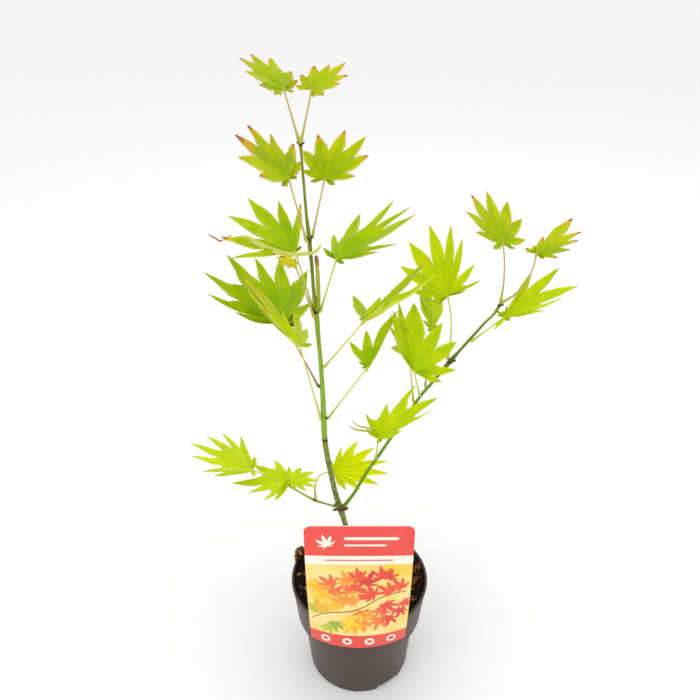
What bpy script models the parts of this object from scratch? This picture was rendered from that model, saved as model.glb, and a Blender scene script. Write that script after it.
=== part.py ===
"""A young Japanese maple in a round nursery pot, with a plain care label hooked on the rim.

Units are metres, +Z is up and the front of the plant looks along -Y. The origin is the centre of the
pot's flat underside. Sizes and places below are millimetres, turned to metres by MM.
"""

import math
import random
from dataclasses import dataclass, replace

import bmesh
import bpy
from mathutils import Matrix, Vector

MM = 0.001
GAP = 0.3  # clearance between neighbouring pieces

# Pot: a turned shell with a straight collar under the lip and two drainage notches at its foot.
POT_HEIGHT = 109.0
RIM_RADIUS = 65.0
COLLAR_FOOT_RADIUS = 60.3
COLLAR_FOOT_HEIGHT = 68.0
BODY_TOP_RADIUS = 54.0
BODY_TOP_HEIGHT = 59.0
FOOT_RADIUS = 48.7
FOOT_CHAMFER = 1.5
WALL = 1.4
FLOOR = 1.8
LIP_HEIGHT = 2.4
LIP_OVERHANG = 0.9
LIP_ROUND = 0.7
LIP_UNDERCUT = 0.3
STEP_INSET = 1.4  # the rounding where the collar turns in to the body
STEP_DROP = 3.2
POT_STEPS = 48
NOTCH_BEARINGS = (-55.0, 125.0)
NOTCH_WIDTH = 24.0
NOTCH_HEIGHT = 5.0
NOTCH_DEPTH = 6.0
NOTCH_OVERRUN = 4.0  # how far a notch's cutter stands out of the wall and below the foot

# Compost: fills the pot to a little under the rim.
COMPOST_TOP = 98.0
COMPOST_EDGE_DROP = 2.0
COMPOST_RINGS = (9.0, 24.0, 38.0, 50.0)
COMPOST_ROUGHNESS = 1.6
COMPOST_SEED = 5
ROOT_BALL_CLEARANCE = 0.4  # to the pot's inner wall
ROOT_BALL_STEP = 2.0  # how far its foot stays inside and above the notches
CLUMP_BEARING = 157.0
CLUMP_RADIUS = 60.0
CLUMP_SPREAD = 7.0
CLUMP_HEIGHT = 22.0

# Care label: a card bent round the collar at its foot and flat at its top, with a hook over the rim.
CARD_WIDTH = 90.0
CARD_MIDDLE = -1.5
CARD_FOOT = 88.0
CARD_TOP = 235.5
CARD_THICKNESS = 0.8
CARD_BEND_RADIUS = 83.0
CARD_CORNER = 6.0
CARD_COLUMNS = 12
CARD_ROWS = 6
HOOK_WIDTH = 14.0
HOOK_FOOT = 101.0
HOOK_THICKNESS = 1.0
HOOK_OVERLAP = 0.4  # how far the bridge runs into the card
TONGUE_INSET = 1.6  # distance from the pot's inner wall at the rim to the tongue

LIMB_STEP = 7.0  # longest stretch between two rings of a limb
STALK_RADIUS = 0.6
STALK_FOOT_RADIUS = 1.0
STALK_STEPS = 8
STALK_SINK = 1.0  # how far a stalk runs on inside the blade

# Leaf blades: lobes fan out from the stalk, shorter and closer together towards the back.
BLADE_THICKNESS = 0.8
LOBE_ANGLES = {7: (0, 37, 72, 104), 9: (0, 29, 57, 84, 108), 11: (0, 24, 47, 69, 90, 110)}
LOBE_SHARES = {7: (1, 0.9, 0.66, 0.38), 9: (1, 0.97, 0.86, 0.64, 0.36), 11: (1, 0.98, 0.91, 0.78, 0.58, 0.34)}
HUB_SHARE = 0.07  # radius of the flat middle that the stalk joins
SINUS_SHARE = 0.55
SHOULDER_SHARE = 0.72
SHOULDER_WIDTH = 0.12
SHOULDER_LIMIT = 0.42  # widest a lobe's shoulder may be, as a share of the angle to the next lobe
CHANNEL = 0.03  # how far a lobe's edges stand above its vein, as a share of the blade

# Stations of each limb: x, y, z of its middle and its radius.
TRUNK = (
    (-0.8, 0.0, COMPOST_TOP + GAP, 4.4),
    (-1.5, 0.0, 103.0, 3.2),
    (-3.5, 0.0, 115.0, 2.7),
    (-8.4, 0.0, 145.0, 2.5),
    (-12.0, 0.0, 167.5, 2.45),
    (-15.0, 0.0, 183.0, 2.5),
    (-18.0, 0.0, 194.5, 3.1),
    (-20.5, 0.0, 205.0, 2.5),
    (-23.2, 0.0, 218.0, 2.4),
    (-26.0, 0.5, 236.0, 2.4),
    (-28.5, 0.8, 252.0, 2.3),
    (-30.5, 1.0, 271.0, 2.3),
    (-31.0, 1.0, 293.5, 2.5),
    (-31.3, 0.8, 312.0, 2.1),
    (-31.8, 0.5, 332.0, 1.9),
    (-32.5, 0.2, 349.0, 1.75),
    (-33.6, 0.0, 368.0, 1.7),
    (-35.1, 0.0, 395.0, 2.1),
    (-36.4, -0.6, 412.0, 1.4),
    (-37.4, -1.4, 434.0, 1.25),
    (-38.6, -2.0, 454.5, 1.6),
    (-40.0, -1.6, 472.0, 1.1),
    (-41.4, -1.0, 497.0, 0.95),
    (-42.4, 0.0, 516.0, 0.9),
    (-42.8, 0.0, 523.5, 1.3),
)
RIGHT_BOUGH = (
    (-14.1, 0.5, 197.0, 1.9),
    (-9.7, 1.2, 203.4, 1.5),
    (-4.7, 2.0, 211.7, 1.4),
    (1.7, 4.0, 224.0, 1.4),
    (8.7, 6.0, 236.5, 1.4),
    (16.6, 8.0, 249.0, 1.4),
    (25.2, 9.0, 264.5, 1.35),
    (34.0, 10.0, 280.0, 1.35),
    (42.6, 11.0, 295.0, 1.4),
    (51.0, 12.0, 309.5, 1.3),
    (58.0, 13.0, 319.0, 1.3),
    (64.5, 14.0, 328.0, 1.3),
    (73.7, 15.0, 341.0, 2.0),
    (79.6, 15.0, 349.7, 1.2),
    (89.0, 15.0, 363.0, 1.2),
    (99.0, 14.0, 378.0, 1.0),
    (104.3, 13.5, 384.5, 1.0),
    (108.7, 13.0, 394.0, 1.4),
)
LEFT_TWIG = (
    (-22.2, 0.4, 195.9, 1.1),
    (-30.0, 1.2, 198.3, 0.8),
    (-40.6, 2.0, 202.0, 1.2),
    (-51.2, 2.3, 209.0, 0.8),
    (-61.7, 3.0, 216.5, 1.0),
)
DEAD_STUB = (
    (-33.0, -3.2, 400.5, 1.3),
    (-32.7, -3.8, 412.0, 1.3),
    (-33.0, -4.3, 428.0, 1.2),
    (-33.8, -4.7, 441.0, 1.0),
)

BARK = (0.30, 0.27, 0.10)
GREEN_SHOOT = (0.30, 0.40, 0.10)
LEAF_GREEN = (0.52, 0.70, 0.05)
DEAD_TIP = (0.30, 0.16, 0.07)
POT_GREY = (0.085, 0.075, 0.068)
COMPOST_BROWN = (0.035, 0.020, 0.012)
CARD_CORAL = (0.85, 0.13, 0.09)


@dataclass(frozen=True)
class Leaf:
    """One leaf: its stalk's foot, its blade's base and middle tip, and the way its upper side looks."""

    base: tuple[float, float, float]
    tip: tuple[float, float, float]
    face: tuple[float, float]  # bearing from +X and elevation, in degrees
    lobes: int = 9
    fold: tuple[float, float] = (4.0, 4.0)  # degrees that the left and right halves are lifted
    spread: tuple[float, float] = (1.0, 1.0)  # how far the left and right lobes fan out
    bow: tuple[float, float, float] = (0.0, 0.0, 0.0)  # how far the stalk's middle leaves its chord
    foot: tuple[float, float, float] | None = None  # set for a leaf that grows from a limb's tip


@dataclass(frozen=True)
class Spray:
    """A node of the crown: one or more leaves whose stalks part from one stem on a limb."""

    name: str
    limb: str
    height: float  # height on the limb where the stem stands off
    leaves: tuple[Leaf, ...]
    on_tip: bool = False  # the stem carries on from the limb's end


def clear_scene():
    for item in list(bpy.data.objects):
        bpy.data.objects.remove(item, do_unlink=True)


def new_collection(name):
    group = bpy.data.collections.new(name)
    bpy.context.scene.collection.children.link(group)
    return group


def new_material(name, color, roughness=0.6):
    material = bpy.data.materials.new(name)
    material.use_nodes = True
    shader = material.node_tree.nodes["Principled BSDF"]
    shader.inputs["Base Color"].default_value = (*color, 1.0)
    shader.inputs["Roughness"].default_value = roughness
    shader.inputs["Metallic"].default_value = 0.0
    return material


def add_object(name, data, group, material=None):
    thing = bpy.data.objects.new(name, data)
    group.objects.link(thing)
    if material is not None:
        data.materials.clear()
        data.materials.append(material)
    return thing


def evaluated_mesh(thing):
    """The mesh of an object as its modifiers or its bevel leave it, with a tube's loose caps welded on."""
    bpy.context.view_layer.update()
    graph = bpy.context.evaluated_depsgraph_get()
    mesh = bpy.data.meshes.new_from_object(thing.evaluated_get(graph))
    if thing.type != "CURVE":
        return mesh
    shape = bmesh.new()
    shape.from_mesh(mesh)
    bmesh.ops.remove_doubles(shape, verts=shape.verts, dist=0.00001)
    shape.to_mesh(mesh)
    shape.free()
    return mesh


def made_solid(thing, group, material):
    """Replaces a curve or a modified object by a plain mesh object of the same name and place."""
    name, place = thing.name, thing.matrix_world.copy()
    mesh = evaluated_mesh(thing)
    bpy.data.objects.remove(thing, do_unlink=True)
    solid = add_object(name, mesh, group, material)
    solid.matrix_world = place
    return solid


def turned(name, profile, group, material, steps=POT_STEPS):
    """A turned solid: a profile of (radius, height) that starts and ends on the axis."""
    mesh = bpy.data.meshes.new(name)
    points = [(radius * MM, 0.0, height * MM) for radius, height in profile]
    mesh.from_pydata(points, [(i, i + 1) for i in range(len(points) - 1)], [])
    thing = add_object(name, mesh, group, material)
    screw = thing.modifiers.new("turn", "SCREW")
    screw.axis = "Z"
    screw.steps = screw.render_steps = steps
    screw.use_merge_vertices = True
    screw.merge_threshold = 0.0001
    screw.use_smooth_shade = True
    return thing


def block(name, low, high, group):
    """A box between two corners, in millimetres."""
    mesh = bpy.data.meshes.new(name)
    shape = bmesh.new()
    bmesh.ops.create_cube(shape, size=1.0)
    size = [(b - a) * MM for a, b in zip(low, high)]
    middle = [(a + b) / 2 * MM for a, b in zip(low, high)]
    bmesh.ops.scale(shape, vec=size, verts=shape.verts)
    bmesh.ops.translate(shape, vec=middle, verts=shape.verts)
    shape.to_mesh(mesh)
    shape.free()
    return add_object(name, mesh, group)


def joined(base, extras, group, material, operation="UNION"):
    """Joins or cuts a solid with every object of a collection, then removes that collection's objects."""
    boolean = base.modifiers.new("join", "BOOLEAN")
    boolean.operation = operation
    boolean.operand_type = "COLLECTION"
    boolean.collection = extras
    solid = made_solid(base, group, material)
    for extra in list(extras.objects):
        bpy.data.objects.remove(extra, do_unlink=True)
    return solid


def make_pot(group, cutters):
    """The shell, and two notches cut through the foot of its wall for drainage."""
    inner_top = RIM_RADIUS - LIP_OVERHANG - WALL
    profile = (
        (0.0, FLOOR),
        (FOOT_RADIUS - WALL, FLOOR),
        (BODY_TOP_RADIUS - WALL, BODY_TOP_HEIGHT),
        (COLLAR_FOOT_RADIUS - WALL, COLLAR_FOOT_HEIGHT),
        (inner_top, POT_HEIGHT - LIP_ROUND),
        (inner_top + LIP_ROUND, POT_HEIGHT),
        (RIM_RADIUS - LIP_ROUND, POT_HEIGHT),
        (RIM_RADIUS, POT_HEIGHT - LIP_ROUND),
        (RIM_RADIUS, POT_HEIGHT - LIP_HEIGHT),
        (RIM_RADIUS - LIP_OVERHANG, POT_HEIGHT - LIP_HEIGHT - LIP_UNDERCUT),
        (COLLAR_FOOT_RADIUS, COLLAR_FOOT_HEIGHT),
        (COLLAR_FOOT_RADIUS - STEP_INSET, COLLAR_FOOT_HEIGHT - STEP_DROP),
        (BODY_TOP_RADIUS, BODY_TOP_HEIGHT),
        (FOOT_RADIUS, FOOT_CHAMFER),
        (FOOT_RADIUS - FOOT_CHAMFER, 0.0),
        (0.0, 0.0),
    )
    pot = turned("pot", profile, group, None)
    for bearing in NOTCH_BEARINGS:
        name = f"notch_{bearing:.0f}"
        low = (FOOT_RADIUS - NOTCH_DEPTH, -NOTCH_WIDTH / 2, -NOTCH_OVERRUN)
        high = (FOOT_RADIUS + NOTCH_OVERRUN, NOTCH_WIDTH / 2, NOTCH_HEIGHT)
        notch = block(name, low, high, cutters)
        notch.rotation_euler.z = math.radians(bearing)
        notch.hide_render = True
        notch.display_type = "WIRE"
    return joined(pot, cutters, group, new_material("pot_plastic", POT_GREY, 0.45), "DIFFERENCE")


def make_compost(group):
    """The root ball: the pot's inside with a clearance, and a rough top with one raised clump."""
    side_top = COMPOST_TOP - COMPOST_EDGE_DROP
    wall_slope = (COLLAR_FOOT_RADIUS - RIM_RADIUS + LIP_OVERHANG) / (POT_HEIGHT - COLLAR_FOOT_HEIGHT)
    inset = WALL + ROOT_BALL_CLEARANCE
    edge = COLLAR_FOOT_RADIUS - inset - wall_slope * (side_top - COLLAR_FOOT_HEIGHT)
    profile = [(0.0, COMPOST_TOP)]
    profile += [(radius, COMPOST_TOP) for radius in COMPOST_RINGS]
    profile += [
        (edge, side_top),
        (COLLAR_FOOT_RADIUS - inset, COLLAR_FOOT_HEIGHT),
        (BODY_TOP_RADIUS - inset, BODY_TOP_HEIGHT),
        (FOOT_RADIUS - inset, NOTCH_HEIGHT + ROOT_BALL_STEP),
        (FOOT_RADIUS - NOTCH_DEPTH - ROOT_BALL_STEP, FLOOR + GAP),
        (0.0, FLOOR + GAP),
    ]
    material = new_material("compost", COMPOST_BROWN, 0.95)
    compost = made_solid(turned("compost", profile, group, material), group, material)
    clump = Vector((CLUMP_RADIUS, 0.0)) * MM
    clump.rotate(Matrix.Rotation(math.radians(CLUMP_BEARING), 2))
    luck = random.Random(COMPOST_SEED)
    for vertex in compost.data.vertices:
        spot = vertex.co.to_2d()
        under_trunk = spot.length < (COMPOST_RINGS[0] + COMPOST_RINGS[1]) / 2 * MM
        if under_trunk or vertex.co.z < (side_top - GAP) * MM:
            continue
        rise = luck.uniform(-1.0, 1.0) * COMPOST_ROUGHNESS
        share = (spot - clump).length / (CLUMP_SPREAD * MM)
        rise += CLUMP_HEIGHT * math.exp(-share * share)
        vertex.co.z += rise * MM
    return compost


def card_point(across, height, front):
    """A place on the card's front or back: bent at its foot, flat at its top, upright throughout."""
    bend = 1.0 - (height - CARD_FOOT) / (CARD_TOP - CARD_FOOT)
    bend *= bend
    turn = across / CARD_BEND_RADIUS
    bent = (CARD_BEND_RADIUS * math.sin(turn), CARD_BEND_RADIUS * (1.0 - math.cos(turn)))
    x = across + (bent[0] - across) * bend
    y = bent[1] * bend - RIM_RADIUS - GAP - (CARD_THICKNESS if front else 0.0)
    return Vector((x + CARD_MIDDLE, y, height)) * MM


def make_label(group, scratch):
    """The care label: a thin bent card, its bridge over the rim and its tongue inside the wall."""
    corner = CARD_TOP - CARD_CORNER
    rows = [CARD_FOOT + (corner - CARD_FOOT) * k / CARD_ROWS for k in range(CARD_ROWS + 1)]
    rows += [corner + CARD_CORNER * math.sin(math.radians(angle)) for angle in (45, 90)]
    shape = bmesh.new()
    grids = []
    for front in (True, False):
        grid = []
        for height in rows:
            over = max(0.0, height - corner)
            inset = CARD_CORNER - math.sqrt(max(0.0, CARD_CORNER**2 - over**2))
            half = CARD_WIDTH / 2 - inset
            spots = [half * (2 * k / CARD_COLUMNS - 1) for k in range(CARD_COLUMNS + 1)]
            grid.append([shape.verts.new(card_point(across, height, front)) for across in spots])
        grids.append(grid)
    face, back = grids
    for i in range(len(rows) - 1):
        for k in range(CARD_COLUMNS):
            shape.faces.new((face[i][k], face[i][k + 1], face[i + 1][k + 1], face[i + 1][k]))
            shape.faces.new((back[i][k], back[i + 1][k], back[i + 1][k + 1], back[i][k + 1]))
    rim = [row[-1] for row in face] + face[-1][-2::-1] + [row[0] for row in face[-2::-1]] + face[0][1:-1]
    behind = [row[-1] for row in back] + back[-1][-2::-1] + [row[0] for row in back[-2::-1]] + back[0][1:-1]
    for k in range(len(rim)):
        following = (k + 1) % len(rim)
        shape.faces.new((rim[k], behind[k], behind[following], rim[following]))
    mesh = bpy.data.meshes.new("care_label")
    shape.to_mesh(mesh)
    shape.free()
    card = add_object("care_label", mesh, group)
    bridge_low = POT_HEIGHT + GAP
    tongue_back = RIM_RADIUS - LIP_OVERHANG - WALL - TONGUE_INSET
    left, right = CARD_MIDDLE - HOOK_WIDTH / 2, CARD_MIDDLE + HOOK_WIDTH / 2
    block(
        "bridge",
        (left, -RIM_RADIUS - GAP - HOOK_OVERLAP, bridge_low),
        (right, -tongue_back + HOOK_THICKNESS, bridge_low + HOOK_THICKNESS),
        scratch,
    )
    block(
        "tongue",
        (left + 1.0, -tongue_back, HOOK_FOOT),
        (right - 1.0, -tongue_back + HOOK_THICKNESS - 0.1, bridge_low + HOOK_THICKNESS / 2),
        scratch,
    )
    return joined(card, scratch, group, new_material("card_print", CARD_CORAL, 0.35))


def smoothed(stations):
    """A limb's route: its stations joined by a Catmull-Rom curve, with a ring at least every LIMB_STEP."""
    points = [Vector(station) for station in stations]
    padded = [points[0] * 2 - points[1], *points, points[-1] * 2 - points[-2]]
    route = [points[0]]
    for a, b, c, d in zip(padded, padded[1:], padded[2:], padded[3:]):
        steps = max(1, math.ceil((c - b).length / LIMB_STEP))
        for k in range(1, steps + 1):
            t = k / steps
            spot = b * 2 + (c - a) * t
            spot += (a * 2 - b * 5 + c * 4 - d) * t * t
            spot += (b * 3 - a - c * 3 + d) * t * t * t
            route.append(spot / 2)
    return route


def tube(name, route, group, sides_level):
    """A tapering tube along a route of (x, y, z, radius), closed at both ends."""
    curve = bpy.data.curves.new(name, "CURVE")
    curve.dimensions = "3D"
    curve.bevel_depth = MM
    curve.bevel_resolution = sides_level
    curve.use_fill_caps = True
    spline = curve.splines.new("POLY")
    spline.points.add(len(route) - 1)
    for point, (x, y, z, radius) in zip(spline.points, route):
        point.co = (x * MM, y * MM, z * MM, 1.0)
        point.radius = radius
    return add_object(name, curve, group)


def make_limb(name, stations, group, material):
    """One tapering limb as a closed mesh."""
    return made_solid(tube(name, smoothed(stations), group, 2), group, material)


def flat_foot(limb, level):
    """Levels the lowest ring of a limb, so that it stands on a flat cut."""
    lowest = min(vertex.co.z for vertex in limb.data.vertices)
    for vertex in limb.data.vertices:
        if vertex.co.z < lowest + 1.2 * MM:
            vertex.co.z = level * MM


def place_on_limb(stations, height):
    """The middle, direction and radius of a limb at a height."""
    route = smoothed(stations)
    for low, high in zip(route, route[1:]):
        if low.z <= height <= high.z:
            share = (height - low.z) / (high.z - low.z)
            spot = low.lerp(high, share)
            return spot.xyz, (high - low).xyz.normalized(), spot.w
    end, before = route[-1], route[-2]
    return end.xyz, (end - before).xyz.normalized(), end.w


def blade_frame(leaf):
    """The blade's origin, length and axes: across, along the middle vein, and out of the upper side."""
    base, tip = Vector(leaf.base), Vector(leaf.tip)
    bearing, elevation = (math.radians(angle) for angle in leaf.face)
    flat = math.cos(elevation)
    up = Vector((flat * math.cos(bearing), flat * math.sin(bearing), math.sin(elevation)))
    along = (tip - base).normalized()
    normal = (up - along * up.dot(along)).normalized()
    across = along.cross(normal)
    return base, (tip - base).length, across, along, normal


def lobe_plan(leaf, seed):
    """The lobes from the blade's left to its right: bearing about the base in degrees, and length share."""
    angles, shares = LOBE_ANGLES[leaf.lobes], LOBE_SHARES[leaf.lobes]
    luck = random.Random(seed)
    order = range(-(leaf.lobes // 2), leaf.lobes // 2 + 1)
    plan = []
    for k in order:
        angle = math.copysign(angles[abs(k)], k) + (luck.uniform(-2.5, 2.5) if k else 0.0)
        angle *= leaf.spread[k > 0]
        share = shares[abs(k)] * (luck.uniform(0.95, 1.05) if k else 1.0)
        plan.append((angle, share))
    return plan


def blade_spot(frame, folds, radius, angle, lift):
    """A place on the blade, from its distance and bearing about the base and its lift, all of length 1."""
    base, length, across, along, normal = frame
    turn = math.radians(angle)
    side, forward = radius * math.sin(turn), radius * math.cos(turn)
    tilt = math.radians(folds[angle > 0])
    height = lift + abs(side) * math.sin(tilt)
    spot = base + (across * side * math.cos(tilt) + along * forward + normal * height) * length
    return spot * MM


def make_blade(leaf, seed, name, group):
    """A lobed blade: an open surface of four facets a lobe round a flat hub, thickened by Solidify."""
    frame = blade_frame(leaf)
    plan = lobe_plan(leaf, seed)
    shape = bmesh.new()

    def vertex(radius, angle, lift, folds=leaf.fold):
        return shape.verts.new(blade_spot(frame, folds, radius, angle, lift))

    steps = [after[0] - before[0] for before, after in zip(plan, plan[1:])]
    sinuses = [vertex(SINUS_SHARE * plan[0][1], plan[0][0] - steps[0] * 0.7, 0.0)]
    for (angle, share), (next_angle, next_share) in zip(plan, plan[1:]):
        depth = SINUS_SHARE * min(share, next_share)
        sinuses.append(vertex(depth, (angle + next_angle) / 2, CHANNEL * 0.7))
    sinuses.append(vertex(SINUS_SHARE * plan[-1][1], plan[-1][0] + steps[-1] * 0.7, 0.0))
    hub = [vertex(HUB_SHARE, angle, 0.0, (0.0, 0.0)) for angle, _ in plan]
    shape.faces.new([*hub, vertex(HUB_SHARE * 0.6, 180.0, 0.0, (0.0, 0.0))])
    for low, high, sinus in zip(hub, hub[1:], sinuses[1:]):
        shape.faces.new((low, sinus, high))
    nearest = [min(pair) for pair in zip([steps[0], *steps], [*steps, steps[-1]])]
    for (angle, share), step, heart, before, after in zip(plan, nearest, hub, sinuses, sinuses[1:]):
        spread = min(math.degrees(math.atan2(SHOULDER_WIDTH, SHOULDER_SHARE)), step * SHOULDER_LIMIT)
        rib = vertex(share * 0.55, angle, 0.0)
        tip = vertex(share, angle, 0.0)
        left = vertex(share * SHOULDER_SHARE, angle - spread, CHANNEL)
        right = vertex(share * SHOULDER_SHARE, angle + spread, CHANNEL)
        for corners in ((heart, rib, left, before), (rib, tip, left), (heart, after, right, rib), (rib, right, tip)):
            shape.faces.new(corners)
    bmesh.ops.recalc_face_normals(shape, faces=shape.faces)
    mesh = bpy.data.meshes.new(name)
    shape.to_mesh(mesh)
    shape.free()
    blade = add_object(name, mesh, group)
    shell = blade.modifiers.new("thickness", "SOLIDIFY")
    shell.thickness = BLADE_THICKNESS * MM
    shell.offset = 0.0
    return made_solid(blade, group, None)


def stalk_route(leaf):
    """A stalk from its foot to the blade's base, bowed on the way, that ends inside the blade's hub."""
    foot, base, bow = Vector(leaf.foot), Vector(leaf.base), Vector(leaf.bow)
    along = blade_frame(leaf)[3]
    route = []
    for k in range(STALK_STEPS + 1):
        t = k / STALK_STEPS
        spot = foot.lerp(base, t) + bow * 4.0 * t * (1.0 - t)
        radius = STALK_RADIUS + (STALK_FOOT_RADIUS - STALK_RADIUS) * (1.0 - t) ** 3
        route.append((*spot, radius))
    route.append((*(base + along * STALK_SINK), STALK_RADIUS * 0.5))
    return route


LIMBS = {"trunk": TRUNK, "right_bough": RIGHT_BOUGH, "left_twig": LEFT_TWIG}

SPRAYS = (
    Spray("leaves_top", "trunk", 523.5, (
        Leaf((-53, 4, 559), (-75, 21, 579), (-18, 55), foot=(-44.0, 0.3, 526.3)),
        Leaf((-34, -3, 560), (-12, 6, 575), (-142, 58), foot=(-42.0, -0.3, 526.3)),
    ), on_tip=True),
    Spray("leaf_second_left", "trunk", 455.0, (
        Leaf((-51, -10, 502.5), (-79, 9, 535), (-15, 45), spread=(1.0, 0.85)),
    )),
    Spray("leaf_second_right", "trunk", 456.0, (
        Leaf((-27, 9, 496.5), (-13, 31, 525.5), (-128, 42)),
    )),
    Spray("leaf_third_left", "trunk", 396.0, (
        Leaf((-50, 10, 440), (-99, 20, 466), (-38, 60), spread=(0.75, 0.9)),
    )),
    Spray("leaf_third_small", "trunk", 392.0, (
        Leaf((-48.5, -16, 441), (-62, -13, 446), (-12, 67), lobes=7),
    )),
    Spray("leaf_third_right", "trunk", 395.0, (
        Leaf((-19, -4, 440), (34, 22, 473), (-171, 60), spread=(1.0, 0.8)),
    )),
    Spray("leaf_fourth_left_back", "trunk", 325.0, (
        Leaf((-61, 12, 377), (-108, 50, 422), (-21, 52), lobes=11),
    )),
    Spray("leaf_fourth_left_front", "trunk", 294.0, (
        Leaf((-47, -22, 377), (-89, 6, 423), (10, 40), fold=(8.0, 5.0), spread=(0.3, 1.0)),
    )),
    Spray("leaf_fourth_right", "trunk", 345.0, (
        Leaf((2, -16, 395), (57, -9, 431), (174, 55), fold=(5.0, 28.0)),
    )),
    Spray("leaf_fifth_right", "trunk", 294.0, (
        Leaf((5, -8, 349.5), (24, 16, 377), (-149, 48), fold=(5.0, 45.0)),
    )),
    Spray("leaf_bough_upper", "right_bough", 341.0, (
        Leaf((68.5, 23, 396.5), (55, 55, 444), (-132, 19), lobes=11, bow=(3.0, 0.0, 1.0)),
    )),
    Spray("leaves_bough_tip", "right_bough", 394.0, (
        Leaf((105, 10, 447), (95, 38, 478), (-38, 40), foot=(108.8, 13.0, 396.6)),
        Leaf((132, 14, 437), (165, 16, 456), (-174, 62), spread=(1.0, 0.75), bow=(2.0, 0.0, -2.0), foot=(110.0, 13.0, 396.2)),
    ), on_tip=True),
    Spray("leaf_bough_outer", "right_bough", 362.0, (
        Leaf((112, 6, 387), (162, 0, 418), (-176, 58), fold=(20.0, 20.0), spread=(0.85, 0.85)),
    )),
    Spray("leaf_bough_front", "right_bough", 309.0, (
        Leaf((40, -26, 356.5), (37, 20, 395), (-44, 43), spread=(0.4, 1.0)),
    )),
    Spray("leaf_bough_back", "right_bough", 316.0, (
        Leaf((59, 34, 360.5), (56, 57, 388), (-28, 27), lobes=7),
    )),
    Spray("leaf_bough_inner", "right_bough", 302.0, (
        Leaf((40, 24, 344.5), (27, 42, 374), (-20, 32), lobes=7),
    )),
    Spray("leaf_bough_low", "right_bough", 246.0, (
        Leaf((15, -9, 279.5), (63, 4, 313), (-137, 52), fold=(3.0, 48.0)),
    )),
    Spray("leaf_inner_right", "left_twig", 202.0, (
        Leaf((-24.0, 22, 218), (28.5, 22, 231), (-84, -13), spread=(0.75, 0.75), bow=(-6.0, 3.0, 6.0)),
    )),
    Spray("leaves_left_twig", "left_twig", 216.5, (
        Leaf((-95, 3, 236), (-149, 16, 257), (34, 61), foot=(-63.0, 3.4, 218.0)),
        Leaf((-63, 3, 226), (-112, 2, 221), (124, 80), foot=(-62.6, 3.8, 217.8)),
        Leaf((-61, -6, 233), (-36, -2, 229), (43, 79), foot=(-62.0, 2.2, 218.4)),
    ), on_tip=True),
)


def seated_leaf(leaf, spray):
    """A leaf whose stalk starts beside its limb, just clear of the bark on the side that it grows to."""
    if spray.on_tip:
        return leaf
    middle, direction, radius = place_on_limb(LIMBS[spray.limb], spray.height)
    chord = Vector(leaf.base) - middle
    outward = (chord - direction * chord.dot(direction)).normalized()
    lean = (chord + Vector(leaf.bow) * 4.0).normalized().dot(outward)
    reach = STALK_FOOT_RADIUS * math.sqrt(1.0 - lean * lean)
    foot = middle + outward * (radius + GAP + reach + 0.05)
    return replace(leaf, foot=tuple(foot))


def make_spray(spray, group, scratch, material):
    """Stalks and blades of one spray, joined into one body by a single union."""
    first = None
    for k, leaf in enumerate(spray.leaves):
        leaf = seated_leaf(leaf, spray)
        seed = f"{spray.name}_{k}"
        stalk = made_solid(tube(f"stalk_{k}", stalk_route(leaf), scratch, 1), scratch, None)
        make_blade(leaf, seed, f"blade_{k}", scratch)
        if first is None:
            first = stalk
    if spray.on_tip:
        middle, direction, radius = place_on_limb(LIMBS[spray.limb], spray.height)
        start = middle + direction * GAP
        stem = [(*(start + direction * step), radius * share) for step, share in ((0, 0.9), (2.5, 1.0), (4.5, 0.6))]
        made_solid(tube("stem", stem, scratch, 1), scratch, None)
    scratch.objects.unlink(first)
    group.objects.link(first)
    first.name = spray.name
    return joined(first, scratch, group, material)


def main():
    clear_scene()
    plant = new_collection("potted_maple")
    cutters = new_collection("cutters")
    scratch = new_collection("scratch")
    make_pot(plant, cutters)
    make_compost(plant)
    make_label(plant, scratch)
    bark = new_material("bark", BARK, 0.8)
    shoot = new_material("green_shoot", GREEN_SHOOT, 0.6)
    trunk = make_limb("trunk", TRUNK, plant, bark)
    flat_foot(trunk, COMPOST_TOP + GAP)
    make_limb("right_bough", RIGHT_BOUGH, plant, shoot)
    make_limb("left_twig", LEFT_TWIG, plant, new_material("twig", GREEN_SHOOT, 0.6))
    make_limb("dead_stub", DEAD_STUB, plant, new_material("dead_tip", DEAD_TIP, 0.8))
    for spray in SPRAYS:
        make_spray(spray, plant, scratch, new_material(spray.name, LEAF_GREEN, 0.5))


main()
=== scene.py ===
"""Looks of a young potted Japanese maple: nursery pot, compost, care label, stems and serrated leaves.

Units are metres, +Z is up and the front of the plant looks along -Y. Sizes and places in the tables
are millimetres, turned to metres by MM. The crown follows the same rule as the part's source: each
leaf has a stalk's foot, a blade's base and middle tip, and lobes drawn from its spray's own seed.
"""

import logging
import math
import random
from collections.abc import Callable, Iterable, Sequence
from dataclasses import dataclass, field, replace
from enum import Enum

import bmesh
import bpy
from mathutils import Euler, Matrix, Vector, noise


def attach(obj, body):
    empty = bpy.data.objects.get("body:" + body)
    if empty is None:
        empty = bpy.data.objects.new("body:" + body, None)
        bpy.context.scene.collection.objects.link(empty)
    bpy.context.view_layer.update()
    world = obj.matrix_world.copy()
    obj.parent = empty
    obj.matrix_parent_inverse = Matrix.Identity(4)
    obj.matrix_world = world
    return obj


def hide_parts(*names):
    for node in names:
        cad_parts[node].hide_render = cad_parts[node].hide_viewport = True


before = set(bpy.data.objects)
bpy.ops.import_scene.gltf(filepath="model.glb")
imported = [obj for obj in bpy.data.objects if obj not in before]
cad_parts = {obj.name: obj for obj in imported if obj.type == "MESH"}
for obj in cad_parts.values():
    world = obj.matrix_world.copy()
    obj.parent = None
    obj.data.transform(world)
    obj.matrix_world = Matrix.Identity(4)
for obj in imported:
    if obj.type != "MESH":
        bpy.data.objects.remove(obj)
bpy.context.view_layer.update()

LOG = logging.getLogger("potted_maple")
MM = 0.001
GAP = 0.3
BODY = "root"

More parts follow.
